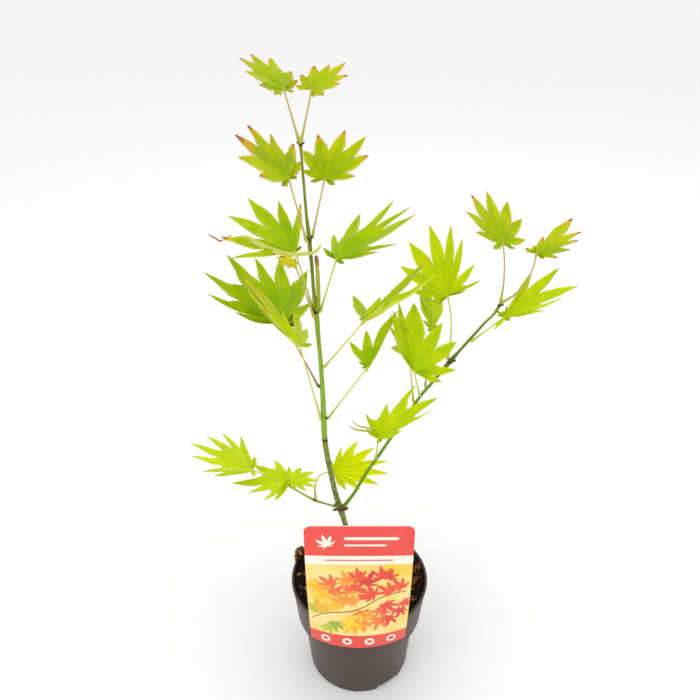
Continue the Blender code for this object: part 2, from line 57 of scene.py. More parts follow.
Socket = bpy.types.NodeSocket
Colour = tuple[float, float, float, float]
Station = tuple[float, float, float, float]
Place = tuple[float, float, float]


def paint(red: float, green: float, blue: float) -> Colour:
    """A screen colour of 0 to 255 as the linear colour that a shader takes.

    Args:
        red, green, blue: The colour as it looks on a screen.

    Returns:
        The linear colour, opaque.
    """
    linear = [((c / 255 + 0.055) / 1.055) ** 2.4 if c > 10 else c / 3294.6 for c in (red, green, blue)]
    return (linear[0], linear[1], linear[2], 1.0)


def eased(value: float) -> float:
    """A share held between 0 and 1 and eased at both ends."""
    held = min(1.0, max(0.0, value))
    return held * held * (3.0 - 2.0 * held)


def smoothed(points: Sequence[Sequence[float]], step: float) -> list[Vector]:
    """Joins points by a Catmull-Rom curve.

    Args:
        points: The points, of any one dimension.
        step: The longest stretch between two points of the result.

    Returns:
        The points of the curve, from the first to the last.
    """
    knots = [Vector(point) for point in points]
    padded = [knots[0] * 2 - knots[1], *knots, knots[-1] * 2 - knots[-2]]
    route = [knots[0]]
    for a, b, c, d in zip(padded, padded[1:], padded[2:], padded[3:]):
        steps = max(1, math.ceil((c - b).length / step))
        for k in range(1, steps + 1):
            t = k / steps
            spot = b * 2 + (c - a) * t
            spot += (a * 2 - b * 5 + c * 4 - d) * t * t
            spot += (b * 3 - a - c * 3 + d) * t * t * t
            route.append(spot / 2)
    return route


def evenly(points: Sequence[Vector], count: int) -> list[Vector]:
    """Points at equal distances along a polyline.

    Args:
        points: The polyline.
        count: How many stretches the result has.

    Returns:
        count + 1 points, from the first to the last.
    """
    lengths = [0.0]
    for before, after in zip(points, points[1:]):
        lengths.append(lengths[-1] + (after - before).length)
    spots, k = [points[0]], 0
    for n in range(1, count):
        goal = lengths[-1] * n / count
        while lengths[k + 1] < goal:
            k += 1
        share = (goal - lengths[k]) / max(lengths[k + 1] - lengths[k], 1e-9)
        spots.append(points[k].lerp(points[k + 1], share))
    return [*spots, points[-1]]


def faces_of(verts: Iterable[bmesh.types.BMVert]) -> list[bmesh.types.BMFace]:
    """The faces that meet at any of the vertices, in a fixed order."""
    return list(dict.fromkeys(face for vertex in verts for face in vertex.link_faces))


def leaned(off: float, ahead: float, angle: float) -> tuple[float, float]:
    """A flat place turned to the right by an angle in radians, as (across, up)."""
    return off * math.cos(angle) + ahead * math.sin(angle), ahead * math.cos(angle) - off * math.sin(angle)


def row_of(vertex: bmesh.types.BMVert, rows: int) -> int:
    """The row that a vertex of a fresh grid is in, from 0 to rows."""
    return round((vertex.co.y + 1.0) / 2.0 * rows)


def spun(shape: bmesh.types.BMesh, profile: Sequence[tuple[float, float]], steps: int) -> None:
    """Turns a profile about the Z axis into a closed shell.

    Args:
        shape: The mesh that it is added to, empty so far.
        profile: Places of (radius, height) in mm, from the axis back to the axis.
        steps: How many faces the shell has round it.
    """
    spots = [shape.verts.new((radius * MM, 0.0, height * MM)) for radius, height in profile]
    edges = [shape.edges.new(pair) for pair in zip(spots, spots[1:])]
    axis = {"axis": (0, 0, 1), "cent": (0, 0, 0), "angle": math.tau}
    bmesh.ops.spin(shape, geom=[*spots, *edges], steps=steps, use_merge=True, **axis)
    bmesh.ops.remove_doubles(shape, verts=shape.verts, dist=0.01 * MM)
    bmesh.ops.recalc_face_normals(shape, faces=shape.faces)


def thickened(shape: bmesh.types.BMesh, faces: Sequence[bmesh.types.BMFace], thickness: float) -> None:
    """Gives faces that have just been bent into place a thickness, in mm.

    Args:
        shape: Their mesh.
        faces: The faces.
        thickness: The thickness, inwards.
    """
    for face in faces:
        face.normal_update()
    for vertex in dict.fromkeys(vertex for face in faces for vertex in face.verts):
        vertex.normal_update()
    bmesh.ops.solidify(shape, geom=list(faces), thickness=thickness * MM)


class Graph:
    """A material, with short calls for the shader nodes that the finishes share."""

    def __init__(self, name: str) -> None:
        """Starts a material of that name with one Principled shader."""
        self.material = bpy.data.materials.new(name)
        self.material.use_nodes = True
        self.tree = self.material.node_tree
        self.shader = self.tree.nodes["Principled BSDF"]

    def node(self, kind: str, **settings: object) -> bpy.types.Node:
        """Adds a node of a kind and sets its own settings."""
        made = self.tree.nodes.new(kind)
        for key, value in settings.items():
            setattr(made, key, value)
        return made

    def feed(self, node: bpy.types.Node, slot: int | str, value: object) -> None:
        """Links an output to a node's input, or sets that input's own value."""
        if isinstance(value, Socket):
            self.tree.links.new(value, node.inputs[slot])
        else:
            node.inputs[slot].default_value = value

    def place(self) -> Socket:
        """The place on the piece, in metres."""
        return self.node("ShaderNodeTexCoord").outputs["Object"]

    def part_of(self, vector: Socket, axis: str) -> Socket:
        """One of a vector's three numbers, by its axis."""
        split = self.node("ShaderNodeSeparateXYZ")
        self.feed(split, 0, vector)
        return split.outputs[axis]

    def attribute(self, name: str) -> Socket:
        """A number that the mesh carries at its vertices."""
        return self.node("ShaderNodeAttribute", attribute_name=name).outputs["Fac"]

    def scaled(self, vector: Socket, scale: Place, turn: float = 0.0) -> Socket:
        """A vector stretched along its axes, after a turn about Z in degrees."""
        mapping = self.node("ShaderNodeMapping")
        self.feed(mapping, "Vector", vector)
        self.feed(mapping, "Scale", scale)
        self.feed(mapping, "Rotation", (0.0, 0.0, math.radians(turn)))
        return mapping.outputs[0]

    def noise(self, vector: Socket, scale: float, detail: float = 4.0, rough: float = 0.55) -> Socket:
        """A cloudy pattern about 0.5; scale is its cells per metre."""
        made = self.node("ShaderNodeTexNoise")
        self.feed(made, "Vector", vector)
        self.feed(made, "Scale", scale)
        self.feed(made, "Detail", detail)
        self.feed(made, "Roughness", rough)
        return made.outputs[0]

    def cells(self, vector: Socket, scale: float) -> Socket:
        """The distance to the nearest of many scattered dots; scale is dots per metre."""
        made = self.node("ShaderNodeTexVoronoi")
        self.feed(made, "Vector", vector)
        self.feed(made, "Scale", scale)
        return made.outputs["Distance"]

    def calc(self, operation: str, first: object, second: object = 0.0) -> Socket:
        """One operation on one or two numbers."""
        made = self.node("ShaderNodeMath", operation=operation)
        self.feed(made, 0, first)
        self.feed(made, 1, second)
        return made.outputs[0]

    def plus(self, first: object, second: object) -> Socket:
        """The sum of two numbers."""
        return self.calc("ADD", first, second)

    def times(self, first: object, second: object) -> Socket:
        """The product of two numbers."""
        return self.calc("MULTIPLY", first, second)

    def swing(self, pattern: Socket, size: float) -> Socket:
        """A pattern about 0.5 turned to one about 0, of a size from its lowest to its highest."""
        return self.times(self.calc("SUBTRACT", pattern, 0.5), size)

    def span(self, value: object, low: float, high: float, top: float = 1.0) -> Socket:
        """A number eased from 0 at low to top at high, and held beyond them."""
        made = self.node("ShaderNodeMapRange", interpolation_type="SMOOTHSTEP")
        for slot, number in (("Value", value), ("From Min", low), ("From Max", high), ("To Max", top)):
            self.feed(made, slot, number)
        return made.outputs[0]

    def ramp(self, value: Socket, stops: Iterable[tuple[float, Colour]]) -> Socket:
        """A colour picked by a number from a row of colours.

        Args:
            value: The number.
            stops: Each colour with the number that it stands at.

        Returns:
            The colour's output.
        """
        made = self.node("ShaderNodeValToRGB")
        bar = made.color_ramp
        for k, (at, colour) in enumerate(stops):
            stop = bar.elements[k] if k < 2 else bar.elements.new(at)
            stop.position, stop.color = at, colour
        self.feed(made, 0, value)
        return made.outputs[0]

    def blend(self, share: object, first: object, second: object, mode: str = "MIX") -> Socket:
        """Two colours laid over each other by a share of 0 to 1."""
        made = self.node("ShaderNodeMix", data_type="RGBA", blend_type=mode)
        for slot, value in ((0, share), (6, first), (7, second)):
            self.feed(made, slot, value)
        return made.outputs[2]

    def dress(
        self, colour: Socket, roughness: Socket | float, relief: Socket, depth: float, gloss: float = 0.5
    ) -> bpy.types.Material:
        """Joins a finish's patterns to the shader.

        Args:
            colour: The base colour.
            roughness: The roughness.
            relief: The height pattern.
            depth: How deep that pattern is, in millimetres.
            gloss: The specular level, where 0.5 is common plastic.

        Returns:
            The finished material.
        """
        bump = self.node("ShaderNodeBump")
        self.feed(bump, "Height", relief)
        self.feed(bump, "Distance", depth * MM)
        self.feed(self.shader, "Base Color", colour)
        self.feed(self.shader, "Roughness", roughness)
        self.feed(self.shader, "Specular IOR Level", gloss)
        self.feed(self.shader, "Normal", bump.outputs[0])
        return self.material


@dataclass(frozen=True)
class LeafFinish:
    """A leaf's colours: veins and heart, the green between them, ripening margins and withered tips."""

    name: str
    heart: Colour
    body: Colour
    margin: Colour
    ripe: Colour
    withered: Colour
    under: Colour
    margin_share: float = 0.5

    def material(self) -> bpy.types.Material:
        """The leaf's material, with veins, mottling, a paler underside and tinted tips.

        Returns:
            The material.
        """
        graph = Graph(self.name)
        place = graph.place()
        across, along = graph.attribute("across"), graph.attribute("reach")
        cloud = graph.noise(place, 70.0, 5.0)
        fine = graph.noise(place, 900.0, 3.0)
        midrib = graph.span(across, 0.10, 0.02)
        slant = graph.calc("SUBTRACT", graph.times(along, 15.0), graph.times(across, 1.5))
        stripe = graph.calc("ABSOLUTE", graph.calc("SUBTRACT", graph.calc("FRACT", slant), 0.5))
        branch = graph.span(stripe, 0.10, 0.0)
        veins = graph.calc("MAXIMUM", midrib, graph.times(branch, 0.45))
        colour = graph.blend(graph.span(cloud, 0.30, 0.72), self.body, self.heart)
        colour = graph.blend(graph.span(along, 0.45, 0.0, 0.6), colour, self.heart)
        colour = graph.blend(graph.times(veins, 0.65), colour, self.heart)
        edge = graph.plus(graph.attribute("edge"), graph.times(cloud, 0.5))
        colour = graph.blend(graph.span(edge, 0.85, 1.35, self.margin_share), colour, self.margin)
        ripe = graph.plus(graph.attribute("ripe"), graph.swing(cloud, 0.6))
        colour = graph.blend(graph.span(ripe, 0.05, 0.45), colour, self.ripe)
        colour = graph.blend(graph.span(ripe, 0.55, 0.85), colour, self.withered)
        pale = graph.blend(graph.times(veins, 0.5), self.under, paint(206, 214, 120))
        pale = graph.blend(graph.span(ripe, 0.5, 0.9), pale, self.withered)
        colour = graph.blend(graph.span(graph.attribute("side"), 0.4, 0.6), pale, colour)
        tone = graph.plus(graph.attribute("tone"), graph.times(fine, 0.10))
        shade = graph.ramp(tone, ((0.0, (0.86, 0.86, 0.8, 1)), (1.0, (1.1, 1.08, 1.0, 1))))
        colour = graph.blend(1.0, colour, shade, "MULTIPLY")
        roughness = graph.span(fine, 0.1, 0.9, 0.62)
        relief = graph.calc("SUBTRACT", graph.times(fine, 0.35), veins)
        return graph.dress(colour, roughness, relief, 0.10, 0.05)


class Foliage(Enum):
    """The leaf finishes of the crown, from the tinted top to the lime foot."""

    TURNING = LeafFinish(
        "leaf_turning", paint(146, 180, 2), paint(194, 202, 3), paint(220, 196, 14),
        paint(218, 178, 18), paint(170, 94, 40), paint(182, 188, 46), 0.8,
    )
    GREEN = LeafFinish(
        "leaf_green", paint(140, 184, 2), paint(186, 204, 4), paint(206, 208, 14),
        paint(214, 200, 24), paint(180, 116, 48), paint(190, 202, 56), 0.6,
    )
    YELLOWED = LeafFinish(
        "leaf_yellowed", paint(200, 196, 10), paint(218, 200, 20), paint(224, 180, 34),
        paint(226, 156, 46), paint(170, 92, 48), paint(206, 208, 104), 0.6,
    )
    LIME = LeafFinish(
        "leaf_lime", paint(158, 194, 2), paint(196, 210, 4), paint(212, 214, 16),
        paint(216, 206, 26), paint(196, 144, 50), paint(208, 218, 72), 0.5,
    )
    BRIGHT = LeafFinish(
        "leaf_bright", paint(184, 212, 2), paint(210, 225, 5), paint(214, 220, 22),
        paint(218, 214, 40), paint(196, 152, 60), paint(196, 206, 66), 0.5,
    )
    # A lighter copy of the leaf finish for a leaf that faces down and gets little light: its colours are painted light.
    SUNLIT = LeafFinish(
        "leaf_sunlit", paint(222, 240, 3), paint(236, 246, 6), paint(238, 246, 24),
        paint(236, 232, 44), paint(206, 160, 66), paint(216, 226, 80), 0.4,
    )


@dataclass(frozen=True)
class StalkFinish:
    """A leaf stalk's colours from its foot to the blade."""

    name: str
    foot: Colour
    middle: Colour
    top: Colour

    def material(self) -> bpy.types.Material:
        """The stalk's material: three colours along it and fine lengthwise streaks.

        Returns:
            The material.
        """
        graph = Graph(self.name)
        place, along = graph.place(), graph.attribute("along")
        cloud = graph.noise(place, 160.0, 3.0)
        shifted = graph.plus(along, graph.swing(cloud, 0.5))
        colour = graph.ramp(shifted, ((0.02, self.foot), (0.45, self.middle), (0.95, self.top)))
        fine = graph.noise(place, 1400.0, 3.0)
        colour = graph.blend(graph.span(fine, 0.3, 0.8, 0.25), colour, paint(226, 222, 140))
        return graph.dress(colour, graph.span(fine, 0.0, 1.0, 0.75), fine, 0.08, 0.4)


class Stalks(Enum):
    """The stalk finishes, by how far the leaf has turned."""

    PINK = StalkFinish("stalk_pink", paint(176, 178, 50), paint(196, 156, 104), paint(196, 172, 80))
    LEMON = StalkFinish("stalk_lemon", paint(176, 186, 50), paint(206, 202, 70), paint(200, 208, 60))
    RUSTY = StalkFinish("stalk_rusty", paint(140, 120, 50), paint(176, 112, 80), paint(196, 190, 60))


@dataclass(frozen=True)
class BarkFinish:
    """A stem's colours by height, with pale flecks on old wood and brown scars at its nodes."""

    name: str
    bands: tuple[tuple[float, Colour], ...]  # height in mm and colour there
    streak: Colour
    fleck: Colour
    scar: Colour
    fleck_top: float = 0.0  # height in mm that the flecks end at
    blush: Colour | None = None

    def material(self) -> bpy.types.Material:
        """The bark's material.

        Returns:
            A banded bark with streaks, flecks and scars.
        """
        graph = Graph(self.name)
        place = graph.place()
        height = graph.part_of(place, "Z")
        low, high = self.bands[0][0], self.bands[-1][0]
        wobble = graph.swing(graph.noise(place, 120.0), 0.006)
        level = graph.times(graph.calc("SUBTRACT", graph.plus(height, wobble), low * MM), 1 / ((high - low) * MM))
        colour = graph.ramp(level, tuple(((at - low) / (high - low), tint) for at, tint in self.bands))
        fibre = graph.noise(graph.scaled(place, (1.0, 1.0, 0.08)), 1500.0, 5.0, 0.6)
        cloud = graph.noise(place, 260.0, 4.0)
        colour = graph.blend(graph.span(fibre, 0.48, 0.75, 0.6), colour, self.streak)
        if self.blush:
            side = graph.span(graph.part_of(place, "X"), -0.012, 0.004, 0.0)
            blush = graph.times(graph.span(cloud, 0.5, 0.7, 0.7), graph.span(height, 0.30, 0.22))
            colour = graph.blend(graph.plus(blush, side), colour, self.blush)
        relief = fibre
        if self.fleck_top:
            dots = graph.cells(graph.scaled(place, (1.0, 1.0, 0.55)), 620.0)
            below = graph.span(height, self.fleck_top * MM, (self.fleck_top - 30.0) * MM)
            flecks = graph.times(graph.span(dots, 0.46, 0.26), below)
            shade = graph.times(graph.span(cloud, 0.40, 0.62, 0.75), below)
            colour = graph.blend(shade, colour, self.streak)
            colour = graph.blend(graph.times(flecks, 0.85), colour, self.fleck)
            relief = graph.plus(fibre, graph.times(flecks, 1.2))
        scar = graph.plus(graph.attribute("scar"), graph.swing(cloud, 0.7))
        colour = graph.blend(graph.span(scar, 0.35, 0.75), colour, self.scar)
        roughness = graph.span(fibre, 0.0, 0.9, 0.8)
        return graph.dress(colour, roughness, relief, 0.25, 0.12)


class Bark(Enum):
    """The finishes of the stems."""

    TRUNK = BarkFinish(
        "bark_trunk",
        (
            (90, paint(122, 118, 62)), (190, paint(120, 130, 48)), (240, paint(100, 130, 34)),
            (266, paint(130, 140, 54)), (276, paint(138, 168, 58)), (300, paint(142, 180, 64)),
            (360, paint(140, 174, 54)), (394, paint(148, 172, 48)), (430, paint(118, 136, 24)),
            (525, paint(132, 138, 26)),
        ),
        paint(74, 98, 22), paint(208, 202, 164), paint(84, 58, 24), 268, paint(158, 120, 84),
    )
    BOUGH = BarkFinish(
        "bark_bough",
        (
            (190, paint(104, 148, 32)), (300, paint(116, 164, 38)), (345, paint(96, 126, 28)),
            (395, paint(134, 156, 34)),
        ),
        paint(78, 118, 22), paint(190, 196, 150), paint(84, 66, 26),
    )
    TWIG = BarkFinish(
        "bark_twig",
        ((190, paint(128, 150, 50)), (205, paint(160, 170, 54)), (220, paint(186, 190, 60))),
        paint(120, 140, 40), paint(190, 196, 150), paint(172, 96, 48),
    )
    STUB = BarkFinish(
        "bark_stub",
        (
            (376, paint(140, 156, 40)), (420, paint(164, 170, 50)), (434.5, paint(176, 172, 60)),
            (436.5, paint(176, 126, 62)), (439.5, paint(158, 94, 50)), (448, paint(122, 70, 42)),
        ),
        paint(140, 150, 40), paint(190, 180, 140), paint(86, 52, 32),
    )
    SCALES = BarkFinish(
        "bud_scales",
        (
            (190, paint(112, 58, 42)), (214, paint(112, 62, 44)), (250, paint(84, 72, 36)),
            (530, paint(92, 78, 34)),
        ),
        paint(130, 104, 60), paint(190, 180, 140), paint(62, 42, 24),
    )


@dataclass(frozen=True)
class PotFinish:
    """Dark recycled plastic: a fine moulded grain, faint flow marks, scuffs and dried soil splashes."""

    name: str = "shell_plastic"
    plastic: Colour = paint(66, 52, 44)
    pale: Colour = paint(90, 74, 60)
    dust: Colour = paint(132, 114, 92)

    def material(self) -> bpy.types.Material:
        """The pot's material.

        Returns:
            A grained plastic with scuffs and soil.
        """
        graph = Graph(self.name)
        place = graph.place()
        grain = graph.noise(place, 2600.0, 2.0)
        flow = graph.noise(graph.scaled(place, (1.0, 1.0, 0.25)), 55.0, 5.0)
        scuffs = graph.noise(graph.scaled(place, (1.0, 1.0, 7.0), 20.0), 240.0, 6.0, 0.7)
        height = graph.part_of(place, "Z")
        colour = graph.blend(graph.span(flow, 0.35, 0.75, 0.35), self.plastic, self.pale)
        worn = graph.times(graph.span(scuffs, 0.62, 0.74), graph.span(flow, 0.5, 0.7))
        colour = graph.blend(graph.times(worn, 0.35), colour, self.pale)
        rim = graph.span(height, 0.098, 0.109, 0.4)
        foot = graph.span(height, 0.010, 0.0, 0.4)
        splash = graph.span(graph.cells(graph.scaled(place, (1.0, 1.0, 0.8)), 330.0), 0.16, 0.05)
        soil = graph.times(splash, graph.plus(graph.plus(rim, foot), 0.05))
        colour = graph.blend(soil, colour, self.dust)
        roughness = graph.plus(graph.span(flow, 0.2, 0.8, 0.12), graph.plus(0.36, graph.times(worn, 0.25)))
        relief = graph.plus(graph.times(grain, 0.5), graph.times(flow, 0.8))
        return graph.dress(colour, roughness, relief, 0.06, 0.3)


@dataclass(frozen=True)
class CompostFinish:
    """Dark peaty compost with painted shade in its hollows; chips take a colour from their own tone."""

    name: str
    tones: tuple[Colour, ...]
    depth: float
    hollow_shade: float  # how dark the shade painted into its hollows is

    def material(self) -> bpy.types.Material:
        """The compost's material.

        Returns:
            A crumbly, fibrous surface.
        """
        graph = Graph(self.name)
        place = graph.place()
        crumb = graph.noise(place, 900.0, 6.0, 0.7)
        fibre = graph.noise(graph.scaled(place, (1.0, 0.25, 0.6), 35.0), 1600.0, 4.0)
        tone = graph.plus(graph.attribute("tone"), graph.swing(fibre, 0.5))
        last = len(self.tones) - 1
        colour = graph.ramp(tone, tuple((k / last, tint) for k, tint in enumerate(self.tones)))
        # Painted shade: the hollows of the crumb relief are darkened towards near black.
        colour = graph.blend(graph.span(crumb, 0.62, 0.36, self.hollow_shade), colour, paint(12, 8, 5))
        relief = graph.plus(crumb, graph.times(fibre, 0.6))
        return graph.dress(colour, graph.span(crumb, -0.8, 0.8, 0.95), relief, self.depth, 0.08)


class Ground(Enum):
    """The finishes of the compost."""

    PEAT = CompostFinish("peat", (paint(14, 8, 4), paint(32, 20, 11), paint(66, 45, 27)), 0.8, 0.6)
    CHIP = CompostFinish(
        "bark_chip", (paint(40, 26, 16), paint(110, 76, 46), paint(176, 132, 84), paint(214, 186, 140)), 0.35, 0.3
    )


@dataclass(frozen=True)
class InkFinish:
    """A printed area of the label: flat ink with a fine print grain and a light gloss."""

    name: str
    ink: Colour
    second: Colour
    cloud: float = 18.0  # size of the change between the two inks, in cells per metre
    toned: bool = False

    def material(self) -> bpy.types.Material:
        """The ink's material.

        Returns:
            A flat or toned ink with a fine grain.
        """
        graph = Graph(self.name)
        place = graph.place()
        dots = graph.noise(place, 4200.0, 2.0)
        cloud = graph.noise(place, self.cloud, 3.0)
        share = graph.attribute("tone") if self.toned else cloud
        colour = graph.blend(graph.span(share, 0.3, 0.7), self.ink, self.second)
        colour = graph.blend(graph.span(dots, 0.55, 0.8, 0.18), colour, paint(255, 246, 230))
        handled = graph.noise(place, 130.0, 5.0)
        roughness = graph.plus(graph.span(handled, 0.3, 0.8, 0.18), 0.28)
        return graph.dress(colour, roughness, dots, 0.02, 0.5)


class Ink(Enum):
    """The label's printed colours."""

    CORAL = InkFinish("ink_coral", paint(236, 74, 62), paint(230, 64, 56))
    CREAM = InkFinish("ink_cream", paint(252, 246, 232), paint(246, 236, 216))
    SUNSET = InkFinish("ink_sunset", paint(252, 226, 150), paint(250, 204, 70), 26.0)
    GOLD = InkFinish("ink_gold", paint(248, 206, 30), paint(250, 176, 24), 60.0, True)
    FLAME = InkFinish("ink_flame", paint(246, 150, 40), paint(238, 104, 50), 60.0, True)
    SCARLET = InkFinish("ink_scarlet", paint(236, 78, 52), paint(214, 44, 50), 60.0, True)
    LEAF = InkFinish("ink_leaf", paint(196, 206, 40), paint(150, 178, 40), 60.0, True)
    BROWN = InkFinish("ink_brown", paint(120, 76, 48), paint(150, 92, 56), 60.0)
    CARD = InkFinish("card_back", paint(240, 236, 226), paint(232, 226, 214))


@dataclass
class Piece:
    """A mesh under construction that becomes one visible piece on the part's body."""

    name: str
    slot: str
    replaced: tuple[str, ...] = ()
    crease: float = 50.0  # angle in degrees past which two faces meet in a hard edge
    numbers: tuple[str, ...] = ("tone",)  # what its vertices carry for the finishes
    shape: bmesh.types.BMesh = field(default_factory=bmesh.new)
    finishes: list[object] = field(default_factory=list)

    def __post_init__(self) -> None:
        """Gives the empty mesh its numbers, since adding one later would drop the vertices held."""
        for name in self.numbers:
            self.shape.verts.layers.float.new(name)

    def index(self, finish: object) -> int:
        """The material index of a finish, which is added where it is new."""
        if finish not in self.finishes:
            self.finishes.append(finish)
        return self.finishes.index(finish)

    def coat(self, verts: Iterable[bmesh.types.BMVert], finish: object) -> list[bmesh.types.BMFace]:
        """Gives the faces that meet at the vertices a finish.

        Args:
            verts: The vertices.
            finish: The finish.

        Returns:
            Those faces.
        """
        faces, index = faces_of(verts), self.index(finish)
        for face in faces:
            face.material_index = index
        return faces

    def layer(self, name: str) -> bmesh.types.BMLayerItem:
        """The mesh's number of that name at each vertex."""
        return self.shape.verts.layers.float[name]

    def done(self) -> bpy.types.Object:
        """Turns the mesh into an object, dresses it and settles it on its body.

        Returns:
            The finished object, at the origin.
        """
        for face in self.shape.faces:
            face.smooth = True
        limit = math.radians(self.crease)
        for edge in self.shape.edges:
            if len(edge.link_faces) == 2 and edge.calc_face_angle(0.0) > limit:
                edge.smooth = False
        mesh = bpy.data.meshes.new(self.name)
        self.shape.to_mesh(mesh)
        self.shape.free()
        for finish in self.finishes:
            known = bpy.data.materials.get(finish.name)
            mesh.materials.append(known or finish.material())
        thing = bpy.data.objects.new(self.name, mesh)
        bpy.context.scene.collection.objects.link(thing)
        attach(thing, BODY)
        if self.replaced:
            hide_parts(*self.replaced)
        mesh.calc_loop_triangles()
        LOG.info("%s: %d triangles", self.name, len(mesh.loop_triangles))
        return thing


def skin(
    piece: Piece,
    route: Sequence[Vector],
    sides: int,
    finish: object,
    relief: Callable[[float, float, Vector], float] | None = None,
    scar: Callable[[float], float] | None = None,
) -> list[bmesh.types.BMVert]:
    """Wraps a closed tube round a route.

    Args:
        piece: The piece that it is added to.
        route: Points of (x, y, z, radius) in millimetres.
        sides: How many faces it has round it.
        finish: Its finish.
        relief: Extra radius in millimetres, from the distance along, the angle and the place.
        scar: How far the surface is scarred, from the distance along.

    Returns:
        Its vertices.
    """
    rows = len(route) - 1
    spots = [point.xyz for point in route]
    lengths = [0.0]
    for before, after in zip(spots, spots[1:]):
        lengths.append(lengths[-1] + (after - before).length)
    axes, side = [], None
    for k in range(rows + 1):
        forward = (spots[min(k + 1, rows)] - spots[max(k - 1, 0)]).normalized()
        side = forward.orthogonal().normalized() if side is None else (side - forward * side.dot(forward)).normalized()
        axes.append((side, forward.cross(side)))
    made = bmesh.ops.create_grid(piece.shape, x_segments=sides, y_segments=rows, size=1.0)["verts"]
    along, scarred, tone = piece.layer("along"), piece.layer("scar"), piece.layer("tone")
    for vertex in made:
        turn = (vertex.co.x + 1.0) * math.pi
        k = row_of(vertex, rows)
        out = axes[k][0] * math.cos(turn) + axes[k][1] * math.sin(turn)
        radius = route[k].w
        if relief and 2 < k < rows - 2:
            radius += relief(lengths[k], turn, spots[k])
        vertex.co = (spots[k] + out * radius) * MM
        vertex[along] = lengths[k] / lengths[-1]
        vertex[scarred] = scar(lengths[k]) if scar else 0.0
        vertex[tone] = 0.5
    piece.coat(made, finish)
    bmesh.ops.remove_doubles(piece.shape, verts=made, dist=0.004 * MM)
    return [vertex for vertex in made if vertex.is_valid]


def capped(route: Sequence[Vector]) -> list[Vector]:
    """A route of (x, y, z, radius) with both ends rounded off to a point.

    Args:
        route: The route's points, in mm.

    Returns:
        The route with three more points at each end.
    """
    first, last = route[0], route[-1]
    before = (first.xyz - route[1].xyz).normalized()
    after = (last.xyz - route[-2].xyz).normalized()
    ends = ((0.45, 0.0), (0.33, 0.62), (0.14, 0.93))
    head = [Vector((*(first.xyz + before * first.w * step), first.w * share)) for step, share in ends]
    tail = [Vector((*(last.xyz + after * last.w * step), last.w * share)) for step, share in reversed(ends)]
    return [*head, *route, *tail]


RING_LIPS = ((0.30, 0.7, 0.45), (0.22, -0.8, 0.5))  # height, place above the node and half width of its two lips
SCAR_REACH = 1.7  # how far from a node's ring its scar fades, in mm
WOOD_NUMBERS = ("along", "scar", "tone")
BLADE_NUMBERS = ("across", "edge", "reach", "ripe", "tone", "arch", "curl", "side")

# ---- stems


@dataclass
class Stem:
    """A woody limb: its stations, the rings at its nodes and the bark's relief."""

    name: str
    slot: str
    node: str
    stations: tuple[Station, ...]
    rings: tuple[tuple[int, float], ...]  # station number and strength of each node's ring
    bark: Bark
    sides: int
    step: float  # longest stretch between two rows of the bark, in mm
    roughness: float  # depth of the bark's ridges, in mm
    rooted: tuple[Station, ...] = ()  # stations before the first one, inside what carries the limb

    def route(self) -> list[Vector]:
        """The limb's fine route, with its buried start."""
        return smoothed([*self.rooted, *self.stations], self.step)

    def ring_places(self) -> list[tuple[Vector, float]]:
        """The middle of each ring and its strength."""
        return [(Vector(self.stations[k][:3]), strength) for k, strength in self.rings]

    def build(self) -> bpy.types.Object:
        """Builds the limb with its ridges, knobs and node rings.

        Returns:
            The finished piece.
        """
        piece = Piece(self.name, self.slot, (self.node,), 80.0, WOOD_NUMBERS)
        route = capped(self.route())
        rings = self.ring_places()

        def gap_to(spot: Vector, ring: Vector) -> float:
            """How far above a ring a place is."""
            return spot.z - ring.z if self.bark is not Bark.TWIG else ring.x - spot.x

        def relief(length: float, turn: float, spot: Vector) -> float:
            """The bark's ridges and the rings at the nodes, in mm."""
            around = Vector((math.cos(turn) * 1.6, math.sin(turn) * 1.6, length * 0.11))
            bark = noise.noise(around) + 0.5 * noise.noise(around * 2.7)
            spread = Vector((math.cos(turn) * 3.1, math.sin(turn) * 3.1, length * 0.75))
            knobs = noise.noise(spread + Vector((9, 4, 2)))
            rise = bark * self.roughness + max(0.0, knobs - 0.25) * self.roughness * 2.2
            for ring, strength in rings:
                above = gap_to(spot, ring)
                rise += strength * sum(high * math.exp(-(((above - at) / wide) ** 2)) for high, at, wide in RING_LIPS)
            return rise

        skin(piece, route, self.sides, self.bark.value, relief)
        scarred = piece.layer("scar")
        for vertex in piece.shape.verts:
            spot = vertex.co / MM
            near = [strength * math.exp(-((gap_to(spot, ring) / SCAR_REACH) ** 2)) for ring, strength in rings]
            vertex[scarred] = min(1.0, max(near, default=0.0))
        return piece.done()


